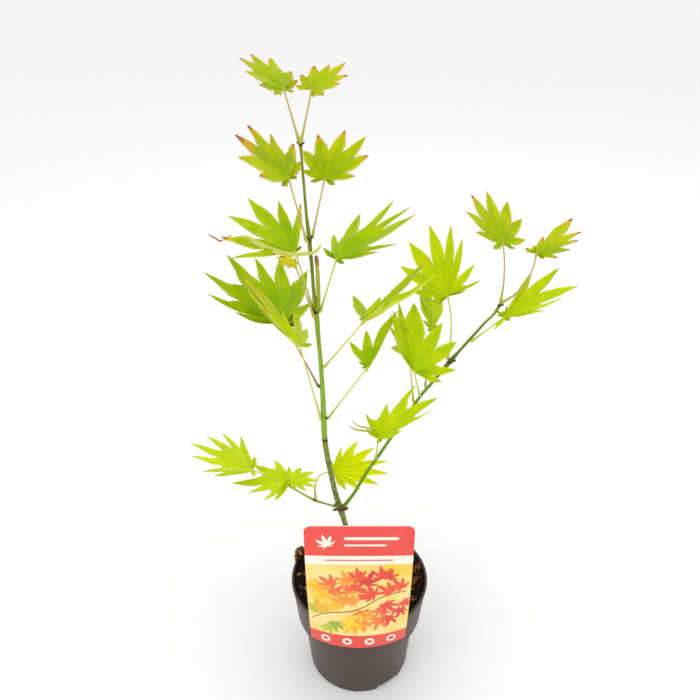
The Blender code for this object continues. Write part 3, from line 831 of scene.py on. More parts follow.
@dataclass
class Stems:
    """The trunk, the right bough, the left twig and the dead stub, with the buds at their nodes."""

    trunk: tuple[Station, ...] = (
        (-0.8, 0, 98.3, 4.4), (-1.5, 0, 103, 3.2), (-3.5, 0, 115, 2.7), (-8.4, 0, 145, 2.5),
        (-12, 0, 167.5, 2.45), (-15, 0, 183, 2.5), (-18, 0, 194.5, 3.1), (-20.5, 0, 205, 2.5),
        (-23.2, 0, 218, 2.4), (-26, 0.5, 236, 2.4), (-28.5, 0.8, 252, 2.3), (-30.5, 1, 271, 2.3),
        (-31, 1, 293.5, 2.5), (-31.3, 0.8, 312, 2.1), (-31.8, 0.5, 332, 1.9), (-32.5, 0.2, 349, 1.75),
        (-33.6, 0, 368, 1.7), (-35.1, 0, 395, 2.1), (-36.4, -0.6, 412, 1.4), (-37.4, -1.4, 434, 1.25),
        (-38.6, -2, 454.5, 1.6), (-40, -1.6, 472, 1.1), (-41.4, -1, 497, 0.95), (-42.4, 0, 516, 0.9),
        (-42.8, 0, 523.5, 1.3),
    )
    right_bough: tuple[Station, ...] = (
        (-14.1, 0.5, 197, 1.9), (-9.7, 1.2, 203.4, 1.5), (-4.7, 2, 211.7, 1.4), (1.7, 4, 224, 1.4),
        (8.7, 6, 236.5, 1.4), (16.6, 8, 249, 1.4), (25.2, 9, 264.5, 1.35), (34, 10, 280, 1.35),
        (42.6, 11, 295, 1.4), (51, 12, 309.5, 1.3), (58, 13, 319, 1.3), (64.5, 14, 328, 1.3),
        (73.7, 15, 341, 2), (79.6, 15, 349.7, 1.2), (89, 15, 363, 1.2), (99, 14, 378, 1),
        (104.3, 13.5, 384.5, 1), (108.7, 13, 394, 1.4),
    )
    left_twig: tuple[Station, ...] = (
        (-22.2, 0.4, 195.9, 1.1), (-30, 1.2, 198.3, 0.8), (-40.6, 2, 202, 1.2), (-51.2, 2.3, 209, 0.8),
        (-61.7, 3, 216.5, 1),
    )
    dead_stub: tuple[Station, ...] = (
        (-33, -3.2, 400.5, 1.4), (-32.8, -3.8, 412, 1.5), (-33, -4.3, 428, 1.5), (-33.2, -4.5, 434, 1.3),
        (-33.4, -4.6, 438, 1.6), (-33.8, -4.7, 442.8, 1.1),
    )
    # Each bud: its foot, the way it points, its length and its half width.
    buds: tuple[tuple[Place, Place, float, float], ...] = (
        ((-44, 0.4, 523.6), (-0.7, -0.3, 0.8), 2.6, 0.9), ((-41.4, -0.5, 523.6), (0.7, -0.4, 0.8), 2.6, 0.9),
        ((-40.2, -2.6, 455.6), (-0.5, -0.5, 0.9), 3, 1), ((-37, -3, 455.8), (0.5, -0.5, 0.9), 3, 1),
        ((-36.8, -1.6, 396.2), (-0.5, -0.6, 0.9), 3, 1.1), ((-36.9, 0.6, 395.5), (-0.8, 0.3, 0.7), 3, 1),
        ((-33.2, 1.4, 395.8), (0.7, 0.4, 0.8), 2.8, 1), ((-32.6, -0.4, 345.6), (0.9, -0.3, 0.6), 2.6, 1),
        ((-33.4, 0.4, 326), (-0.8, -0.4, 0.7), 2.8, 1.1), ((-33, -0.4, 294.2), (-0.7, -0.5, 0.7), 3, 1.1),
        ((-29.2, -0.6, 294.4), (0.7, -0.5, 0.7), 3, 1.1), ((73.2, 13.2, 342.2), (-0.3, -0.6, 0.9), 3.6, 1.4),
        ((75.4, 13.8, 341.6), (0.8, -0.5, 0.5), 3.4, 1.3), ((108.2, 11.9, 393.6), (0, -0.7, 0.8), 2.8, 1),
        ((110, 13.4, 393), (0.8, 0.2, 0.5), 2.6, 1), ((-41, 0.9, 202.6), (-0.3, -0.6, 0.8), 2.6, 1),
        ((-61.6, 2.2, 216.8), (-0.5, -0.5, 0.8), 2.2, 0.8),
        ((-20.9, -1.2, 194.2), (-0.9, -0.5, 0.15), 5, 1.7), ((-20.6, 0.9, 196.4), (-0.8, 0.3, 0.5), 4, 1.5),
        ((-15.2, -1.5, 194.8), (0.9, -0.5, 0.2), 5.2, 1.8), ((-14, 0.6, 193.6), (0.95, 0.2, -0.05), 4.4, 1.6),
        ((-18.2, -2.6, 195.6), (-0.1, -0.8, 0.5), 3.8, 1.7), ((-16.4, -2.4, 198), (0.4, -0.6, 0.7), 3.2, 1.3),
        ((-18.6, 2.5, 195), (-0.2, 0.9, 0.3), 4, 1.6),
    )

    def build_buds(self) -> bpy.types.Object:
        """Builds the pointed buds and papery scales at the nodes and the fork.

        Returns:
            The finished piece.
        """
        piece = Piece("bud_scales", "dead_wood", crease=60.0, numbers=WOOD_NUMBERS)
        tone = piece.layer("tone")
        luck = random.Random("buds")
        for foot, way, length, width in self.buds:
            made = bmesh.ops.create_uvsphere(piece.shape, u_segments=12, v_segments=12, radius=1.0)["verts"]
            aim = Vector(way).to_track_quat("Z", "Y").to_matrix()
            spin = luck.uniform(0, math.tau)
            for vertex in made:
                rise = (vertex.co.z + 1.0) / 2.0
                full = math.sin(math.pi * min(1.0, rise**0.75)) ** 0.8 * (1.0 - 0.45 * rise)
                turn = math.atan2(vertex.co.y, vertex.co.x) + spin
                plates = 1.0 + 0.16 * abs(math.sin(turn * 1.5 + rise * 4.0)) - 0.10 * (rise * 3.0 % 1.0)
                flat = 0.7 if width > 1.4 else 0.95
                local = Vector((math.cos(turn) * full * plates, math.sin(turn) * full * plates * flat, 0)) * width
                local += Vector((0.25 * length * rise * rise * 0.4, 0, rise * length))
                vertex.co = (Vector(foot) + aim @ local) * MM
                vertex[tone] = rise
            piece.coat(made, Bark.SCALES.value)
        return piece.done()

    def build(self) -> None:
        """Builds every limb and the buds."""
        trunk_rings = ((6, 0.9), (11, 0.9), (12, 0.5), (17, 1.0), (20, 1.0), (24, 0.9))
        limbs = (
            Stem("trunk_bark", "bark", "trunk", self.trunk, trunk_rings, Bark.TRUNK, sides=26, step=0.8,
                 roughness=0.13, rooted=((-0.5, 0.0, 92.0, 5.0),)),
            Stem("bough_bark", "green_shoot", "right_bough", self.right_bough, ((12, 1.0), (17, 1.0)), Bark.BOUGH,
                 sides=18, step=0.9, roughness=0.07, rooted=((-17.6, 0.2, 192.8, 2.0),)),
            Stem("twig_bark", "green_shoot", "left_twig", self.left_twig, ((2, 1.0), (4, 0.6)), Bark.TWIG,
                 sides=16, step=0.7, roughness=0.05, rooted=((-18.5, 0.2, 195.0, 1.3),)),
            Stem("stub_bark", "dead_wood", "dead_stub", self.dead_stub, (), Bark.STUB,
                 sides=16, step=0.7, roughness=0.12, rooted=((-34.2, -1.2, 396.5, 1.2),)),
        )
        for limb in limbs:
            limb.build()
        self.build_buds()


# ---- leaves

LOBE_ANGLES = {7: (0, 37, 72, 104), 9: (0, 29, 57, 84, 108), 11: (0, 24, 47, 69, 90, 110)}
LOBE_SHARES = {7: (1, 0.9, 0.66, 0.38), 9: (1, 0.97, 0.86, 0.64, 0.36), 11: (1, 0.98, 0.91, 0.78, 0.58, 0.34)}
LOBE_SPACING = 27.0  # degrees between lobes at which they have their full width
LOBE_PROFILE = ((0.60, 0.110), (0.74, 0.088), (0.88, 0.040))  # share along a lobe and half width there
HEART_SLOPE = 0.45  # how far the rows between two notches sag to the hub, against the notches' distance from the vein
FREE_SHARE = 0.3  # share of a lobe's rows past its notches before its margin is fully free
CHANNEL = 0.02  # how far a lobe's margins stand above its vein, against the blade's length
RIPPLES = ((0.010, 4.0, 0.0), (0.004, 14.0, 3.0))  # height, grain and shift of a blade's unevenness
BOW_LIFT = 4.0  # makes t (1 - t) reach 1 at a stalk's middle


@dataclass(frozen=True)
class Lobe:
    """How one lobe of a leaf differs from the rule, as factors on its length, width and ripening."""

    length: float = 1.0
    width: float = 1.0
    turn: float = 0.0  # degrees that it leans to the right
    ripe: float = 1.0


@dataclass(frozen=True)
class Leaf:
    """One leaf: its stalk's foot, its blade's base and middle tip, and the way its upper side looks."""

    base: Place
    tip: Place
    face: tuple[float, float]  # bearing from +X and elevation, in degrees
    lobes: int = 9
    fold: tuple[float, float] = (4.0, 4.0)  # degrees that the left and right halves are lifted
    spread: tuple[float, float] = (1.0, 1.0)  # how far the left and right lobes fan out
    bow: Place = (0.0, 0.0, 0.0)  # how far the stalk's middle leaves its chord
    foot: Place | None = None  # set for a leaf that grows from a limb's tip
    finish: Foliage = Foliage.GREEN
    stalk: Stalks = Stalks.LEMON
    ripening: float = 0.10  # share of each lobe that has ripened, on average
    sinus: float = 0.48  # how far out the notches between the lobes reach
    tooth: float = 0.020  # height of the margin's teeth against the blade's length
    # The lobes that differ, as the fields of a Lobe. 0 is the middle lobe, and those to its left are negative.
    odd: dict[int, tuple[float, ...]] = field(default_factory=dict)

    def frame(self) -> tuple[Vector, float, Vector, Vector, Vector]:
        """The blade's origin, length and axes: across, along the middle vein and out of the upper side.

        Returns:
            The origin and length in mm, and the three axes.
        """
        base, tip = Vector(self.base), Vector(self.tip)
        bearing, elevation = (math.radians(angle) for angle in self.face)
        flat = math.cos(elevation)
        up = Vector((flat * math.cos(bearing), flat * math.sin(bearing), math.sin(elevation)))
        along = (tip - base).normalized()
        normal = (up - along * up.dot(along)).normalized()
        return base, (tip - base).length, along.cross(normal), along, normal

    def lobe_plan(self, seed: str) -> list[tuple[float, float]]:
        """The lobes from the blade's left to its right: bearing about the base and length share.

        Args:
            seed: The seed of its lobes' small differences.

        Returns:
            The bearing in degrees and the share of each lobe.
        """
        angles, shares = LOBE_ANGLES[self.lobes], LOBE_SHARES[self.lobes]
        luck = random.Random(seed)
        plan = []
        for k in range(-(self.lobes // 2), self.lobes // 2 + 1):
            angle = math.copysign(angles[abs(k)], k) + (luck.uniform(-2.5, 2.5) if k else 0.0)
            angle *= self.spread[k > 0]
            share = shares[abs(k)] * (luck.uniform(0.95, 1.05) if k else 1.0)
            plan.append((angle, share))
        return plan


@dataclass(frozen=True)
class Outline:
    """The flat plan of a lobed blade of length 1 about its stalk, as one fine grid a lobe."""

    plan: Sequence[tuple[float, float]]
    columns: int = 10
    heart_rows: int = 8
    lobe_rows: int = 28
    tooth: float = 0.020
    sinus: float = 0.48
    odd: dict[int, Lobe] = field(default_factory=dict)

    def sinuses(self) -> list[tuple[float, float]]:
        """The bearing and radius of each notch, from the left of the first lobe to the right of the last.

        Returns:
            One more notch than there are lobes.
        """
        plan = self.plan
        first, last = plan[1][0] - plan[0][0], plan[-1][0] - plan[-2][0]
        notches = [(plan[0][0] - first * 0.6, self.sinus * plan[0][1])]
        for (angle, share), (next_angle, next_share) in zip(plan, plan[1:]):
            notches.append(((angle + next_angle) / 2, self.sinus * min(share, next_share)))
        return [*notches, (plan[-1][0] + last * 0.6, self.sinus * plan[-1][1])]

    def margin(self, share: float, turn: float, radius: float, width: float) -> list[Vector]:
        """One side of a lobe from its notch to its tip, as places of (off the vein, along it).

        Args:
            share: The lobe's length.
            turn: The angle from the lobe's vein to the notch, in degrees.
            radius: The notch's distance from the hub.
            width: The lobe's width against the profile's.

        Returns:
            lobe_rows + 1 places.
        """
        notch = Vector((radius * math.sin(math.radians(turn)), radius * math.cos(math.radians(turn))))
        start = notch.y + 0.05 * share
        beyond = [(half * width * share, at * share) for at, half in LOBE_PROFILE if at * share > start]
        return evenly(smoothed([notch, *beyond, (0.0, share)], 0.01), self.lobe_rows)

    def lay(self, piece: Piece, luck: random.Random, ripening: float) -> list[bmesh.types.BMVert]:
        """Lays the lobes' grids side by side in the plane and welds them.

        Args:
            piece: The piece that they are added to.
            luck: The source of each lobe's small differences.
            ripening: The share of a lobe that has ripened, on average.

        Returns:
            The welded vertices.
        """
        names = ("across", "edge", "reach", "ripe", "tone", "arch", "curl")
        across, edge, reach, ripe, tone, arch, curl = (piece.layer(name) for name in names)
        rows, notches, laid = self.heart_rows + self.lobe_rows, self.sinuses(), []
        steps = [after[0] - before[0] for before, after in zip(self.plan, self.plan[1:])]
        nearest = [min(pair) for pair in zip([steps[0], *steps], [*steps, steps[-1]])]
        for number, ((angle, share), step, before, after) in enumerate(zip(self.plan, nearest, notches, notches[1:])):
            lobe = self.odd.get(number - len(self.plan) // 2, Lobe())
            width = min(1.0, step / LOBE_SPACING) * share**0.3 * lobe.width
            sides = {
                -1: self.margin(share, angle - before[0], before[1], width),
                1: self.margin(share, after[0] - angle, after[1], width),
            }
            length = ripening * lobe.ripe * luck.uniform(0.2, 1.8) + 1e-4
            bow, tip_curl, brightness = luck.uniform(0.01, 0.05), luck.uniform(-0.05, 0.03), luck.uniform(0.2, 0.8)
            axis = math.radians(angle)
            made = bmesh.ops.create_grid(piece.shape, x_segments=self.columns, y_segments=rows, size=1.0)["verts"]
            for vertex in made:
                side = -1 if vertex.co.x < 0 else 1
                out = abs(vertex.co.x)
                row = row_of(vertex, rows)
                k = row - self.heart_rows
                ends = [sides[s][max(k, 0)] for s in (-1, 1)]
                rim = sides[side][max(k, 0)].copy()
                middle = sum(end.y for end in ends) / 2 - HEART_SLOPE * sum(end.x for end in ends) / 2
                if k < 0:
                    rim *= row / self.heart_rows
                    middle = middle * row / self.heart_rows
                elif k == self.lobe_rows:
                    middle = share
                elif out > 0.99 and k % 2 and 1 < k < self.lobe_rows - 1:
                    size = self.tooth * share**0.5 * luck.uniform(0.6, 1.3) * (1.0 - k / self.lobe_rows) ** 0.4
                    rim += Vector((size, size * 0.8)) * min(1.0, k / 5)
                off = rim.x * out * side
                ahead = middle + (rim.y - middle) * out
                vertex.co = (*leaned(off, ahead, axis), 0.0)
                free, tip_share = eased(k / (self.lobe_rows * FREE_SHARE)), ahead / share
                vertex[across] = out
                vertex[edge] = out * free
                vertex[reach] = row / rows
                vertex[ripe] = max(0.0, 1.0 + (tip_share - 1.0) / length)
                vertex[tone] = brightness
                vertex[arch] = bow * math.sin(math.pi * min(1.0, tip_share)) * (1.0 - out * (1.0 - free))
                vertex[curl] = tip_curl * max(0.0, (tip_share - 0.55) / 0.45) ** 2 * share
            laid += made
        bmesh.ops.remove_doubles(piece.shape, verts=laid, dist=0.0002)
        return [vertex for vertex in laid if vertex.is_valid]


@dataclass(frozen=True)
class Strip:
    """A curled edge or a withered thread of a leaf: a narrow strip along its own route."""

    route: tuple[Place, ...]
    width: float  # half its width in mm, at its widest
    finish: Foliage
    ripe: float = 0.0


@dataclass(frozen=True)
class Spray:
    """A node of the crown: one or more leaves whose stalks part from one place on a limb."""

    name: str
    limb: str
    height: float  # height on the limb where the stalks stand off
    leaves: tuple[Leaf, ...]
    on_tip: bool = False
    strips: tuple[Strip, ...] = ()


@dataclass
class Crown:
    """All leaves, grown by the source's rule and joined by region, blades apart from stalks."""

    stems: Stems
    regions: dict[str, tuple[Spray, ...]]
    thickness: float = 0.38
    strip_thickness: float = 0.25
    stalk_radius: float = 0.6
    stalk_foot: float = 1.0  # radius of a stalk's swollen foot

    def place_on_limb(self, limb: str, height: float) -> tuple[Vector, Vector, float]:
        """The middle, direction and radius of a limb at a height.

        Args:
            limb: The limb's name among the stems.
            height: The height, in mm.

        Returns:
            The three, or those of its tip above it.
        """
        route = smoothed(getattr(self.stems, limb), 7.0)
        for low, high in zip(route, route[1:]):
            if low.z <= height <= high.z:
                spot = low.lerp(high, (height - low.z) / (high.z - low.z))
                return spot.xyz, (high - low).xyz.normalized(), spot.w
        end, before = route[-1], route[-2]
        return end.xyz, (end - before).xyz.normalized(), end.w

    def seated(self, leaf: Leaf, spray: Spray) -> tuple[Leaf, Vector]:
        """A leaf with its foot beside its limb, and the place inside the limb that its stalk starts from.

        Args:
            leaf: The leaf.
            spray: The spray that it belongs to.

        Returns:
            The seated leaf and that place.
        """
        middle, direction, radius = self.place_on_limb(spray.limb, spray.height)
        if spray.on_tip:
            return leaf, middle + direction * 0.4
        chord = Vector(leaf.base) - middle
        outward = (chord - direction * chord.dot(direction)).normalized()
        lean = (chord + Vector(leaf.bow) * BOW_LIFT).normalized().dot(outward)
        reach = self.stalk_foot * math.sqrt(1.0 - lean * lean)
        foot = middle + outward * (radius + GAP + reach + 0.05)
        return replace(leaf, foot=tuple(foot)), middle + outward * radius * 0.4 - direction * 0.6

    def blade(self, piece: Piece, leaf: Leaf, seed: str) -> None:
        """Adds one blade: the flat plan bent into place and given its thickness.

        Args:
            piece: The piece that it is added to.
            leaf: The leaf.
            seed: The seed of its lobes.
        """
        base, length, across_way, along, normal = leaf.frame()
        luck = random.Random(seed + "_fine")
        odd, plan = {place: Lobe(*row) for place, row in leaf.odd.items()}, []
        for k, (angle, share) in enumerate(leaf.lobe_plan(seed), -(leaf.lobes // 2)):
            lobe = odd.get(k, Lobe())
            plan.append((angle + lobe.turn, share * lobe.length))
        verts = Outline(plan, tooth=leaf.tooth, sinus=leaf.sinus, odd=odd).lay(piece, luck, leaf.ripening)
        names = ("across", "edge", "reach", "arch", "curl", "side")
        across, edge, reach, arch, curl, side = (piece.layer(name) for name in names)
        drift = Vector((luck.uniform(0, 50), luck.uniform(0, 50), 0))
        for vertex in verts:
            off, ahead = vertex.co.x, vertex.co.y
            rise = eased(vertex[reach] * 3.0)
            lift = CHANNEL * (0.7 + 0.3 * vertex[edge]) * vertex[across] ** 1.5 * rise * (1.0 - vertex[reach] ** 3)
            lift -= vertex[arch] * 0.8
            lift += vertex[curl]
            for strength, grain, shift in RIPPLES:
                lift += strength * noise.noise(Vector((off * grain, ahead * grain, shift)) + drift) * rise
            tilt = math.radians(leaf.fold[off > 0])
            soft = math.sqrt(off * off + 0.0009) - 0.03
            height = lift + soft * math.sin(tilt)
            spot = base + (across_way * off * math.cos(tilt) + along * ahead + normal * height) * length
            vertex.co = spot * MM
        faces = piece.coat(verts, leaf.finish.value)
        known = set(piece.shape.verts)
        thickened(piece.shape, faces, self.thickness)
        fresh = [vertex for vertex in piece.shape.verts if vertex not in known]
        probe = fresh[len(fresh) // 2]
        twin = min(verts, key=lambda vertex: (vertex.co - probe.co).length_squared)
        below = fresh if (probe.co - twin.co).dot(normal) < 0 else verts
        for vertex in [*fresh, *verts]:
            vertex[side] = 1.0
        for vertex in below:
            vertex[side] = 0.0

    def strip(self, piece: Piece, strip: Strip) -> None:
        """Adds one strip, creased along its middle and drawn out at both ends.

        Args:
            piece: The piece that it is added to.
            strip: The strip.
        """
        path = smoothed([Vector(spot) for spot in strip.route], 1.0)
        last, up = len(path) - 1, Vector((0.0, -0.5, 0.86))
        layers = [piece.layer(name) for name in ("across", "edge", "reach", "ripe", "tone")]
        made = bmesh.ops.create_grid(piece.shape, x_segments=6, y_segments=last, size=1.0)["verts"]
        for vertex in made:
            off, k = vertex.co.x, row_of(vertex, last)
            across_way = (path[min(k + 1, last)] - path[max(k - 1, 0)]).normalized().cross(up).normalized()
            reach = math.sin(math.pi * (0.04 + 0.92 * k / last)) ** 0.6 * strip.width
            vertex.co = (path[k] + across_way * off * reach + up * abs(off) * reach * 0.35) * MM
            for layer, number in zip(layers, (abs(off), abs(off), k / last, strip.ripe, 0.5)):
                vertex[layer] = number
        thickened(piece.shape, piece.coat(made, strip.finish.value), self.strip_thickness)

    def stalk(self, piece: Piece, leaf: Leaf, start: Vector) -> None:
        """Adds one stalk from inside its limb to the blade's hub, with a swollen foot.

        Args:
            piece: The piece that it is added to.
            leaf: The seated leaf.
            start: The place inside the limb.
        """
        foot, base, bow = Vector(leaf.foot), Vector(leaf.base), Vector(leaf.bow)
        along, normal = leaf.frame()[3:]
        points = [Vector((*start, self.stalk_foot * 0.9))]
        for k in range(9):
            t = k / 8
            spot = foot.lerp(base, t) + bow * BOW_LIFT * t * (1.0 - t)
            radius = self.stalk_radius + (self.stalk_foot + 0.25 - self.stalk_radius) * (1.0 - t) ** 5
            radius += 0.22 * max(0.0, (t - 0.85) / 0.15) ** 2
            points.append(Vector((*spot, radius)))
        hub = base + along * 1.4 - normal * 0.35
        points.append(Vector((*hub, self.stalk_radius * 0.55)))
        skin(piece, capped(smoothed(points, 1.6)), 10, leaf.stalk.value)

    def build(self) -> None:
        """Builds the blades and the stalks of every region."""
        for region, sprays in self.regions.items():
            nodes = tuple(spray.name for spray in sprays)
            blades = Piece(f"blades_{region}", "foliage", nodes, 60.0, BLADE_NUMBERS)
            stalks = Piece(f"stalks_{region}", "foliage", nodes, 80.0, WOOD_NUMBERS)
            for spray in sprays:
                for k, leaf in enumerate(spray.leaves):
                    leaf, start = self.seated(leaf, spray)
                    self.blade(blades, leaf, f"{spray.name}_{k}")
                    self.stalk(stalks, leaf, start)
                for strip in spray.strips:
                    self.strip(blades, strip)
            blades.done()
            stalks.done()


TURNING, GREEN, YELLOWED, LIME, BRIGHT, SUNLIT = Foliage
PINK, LEMON, RUSTY = Stalks

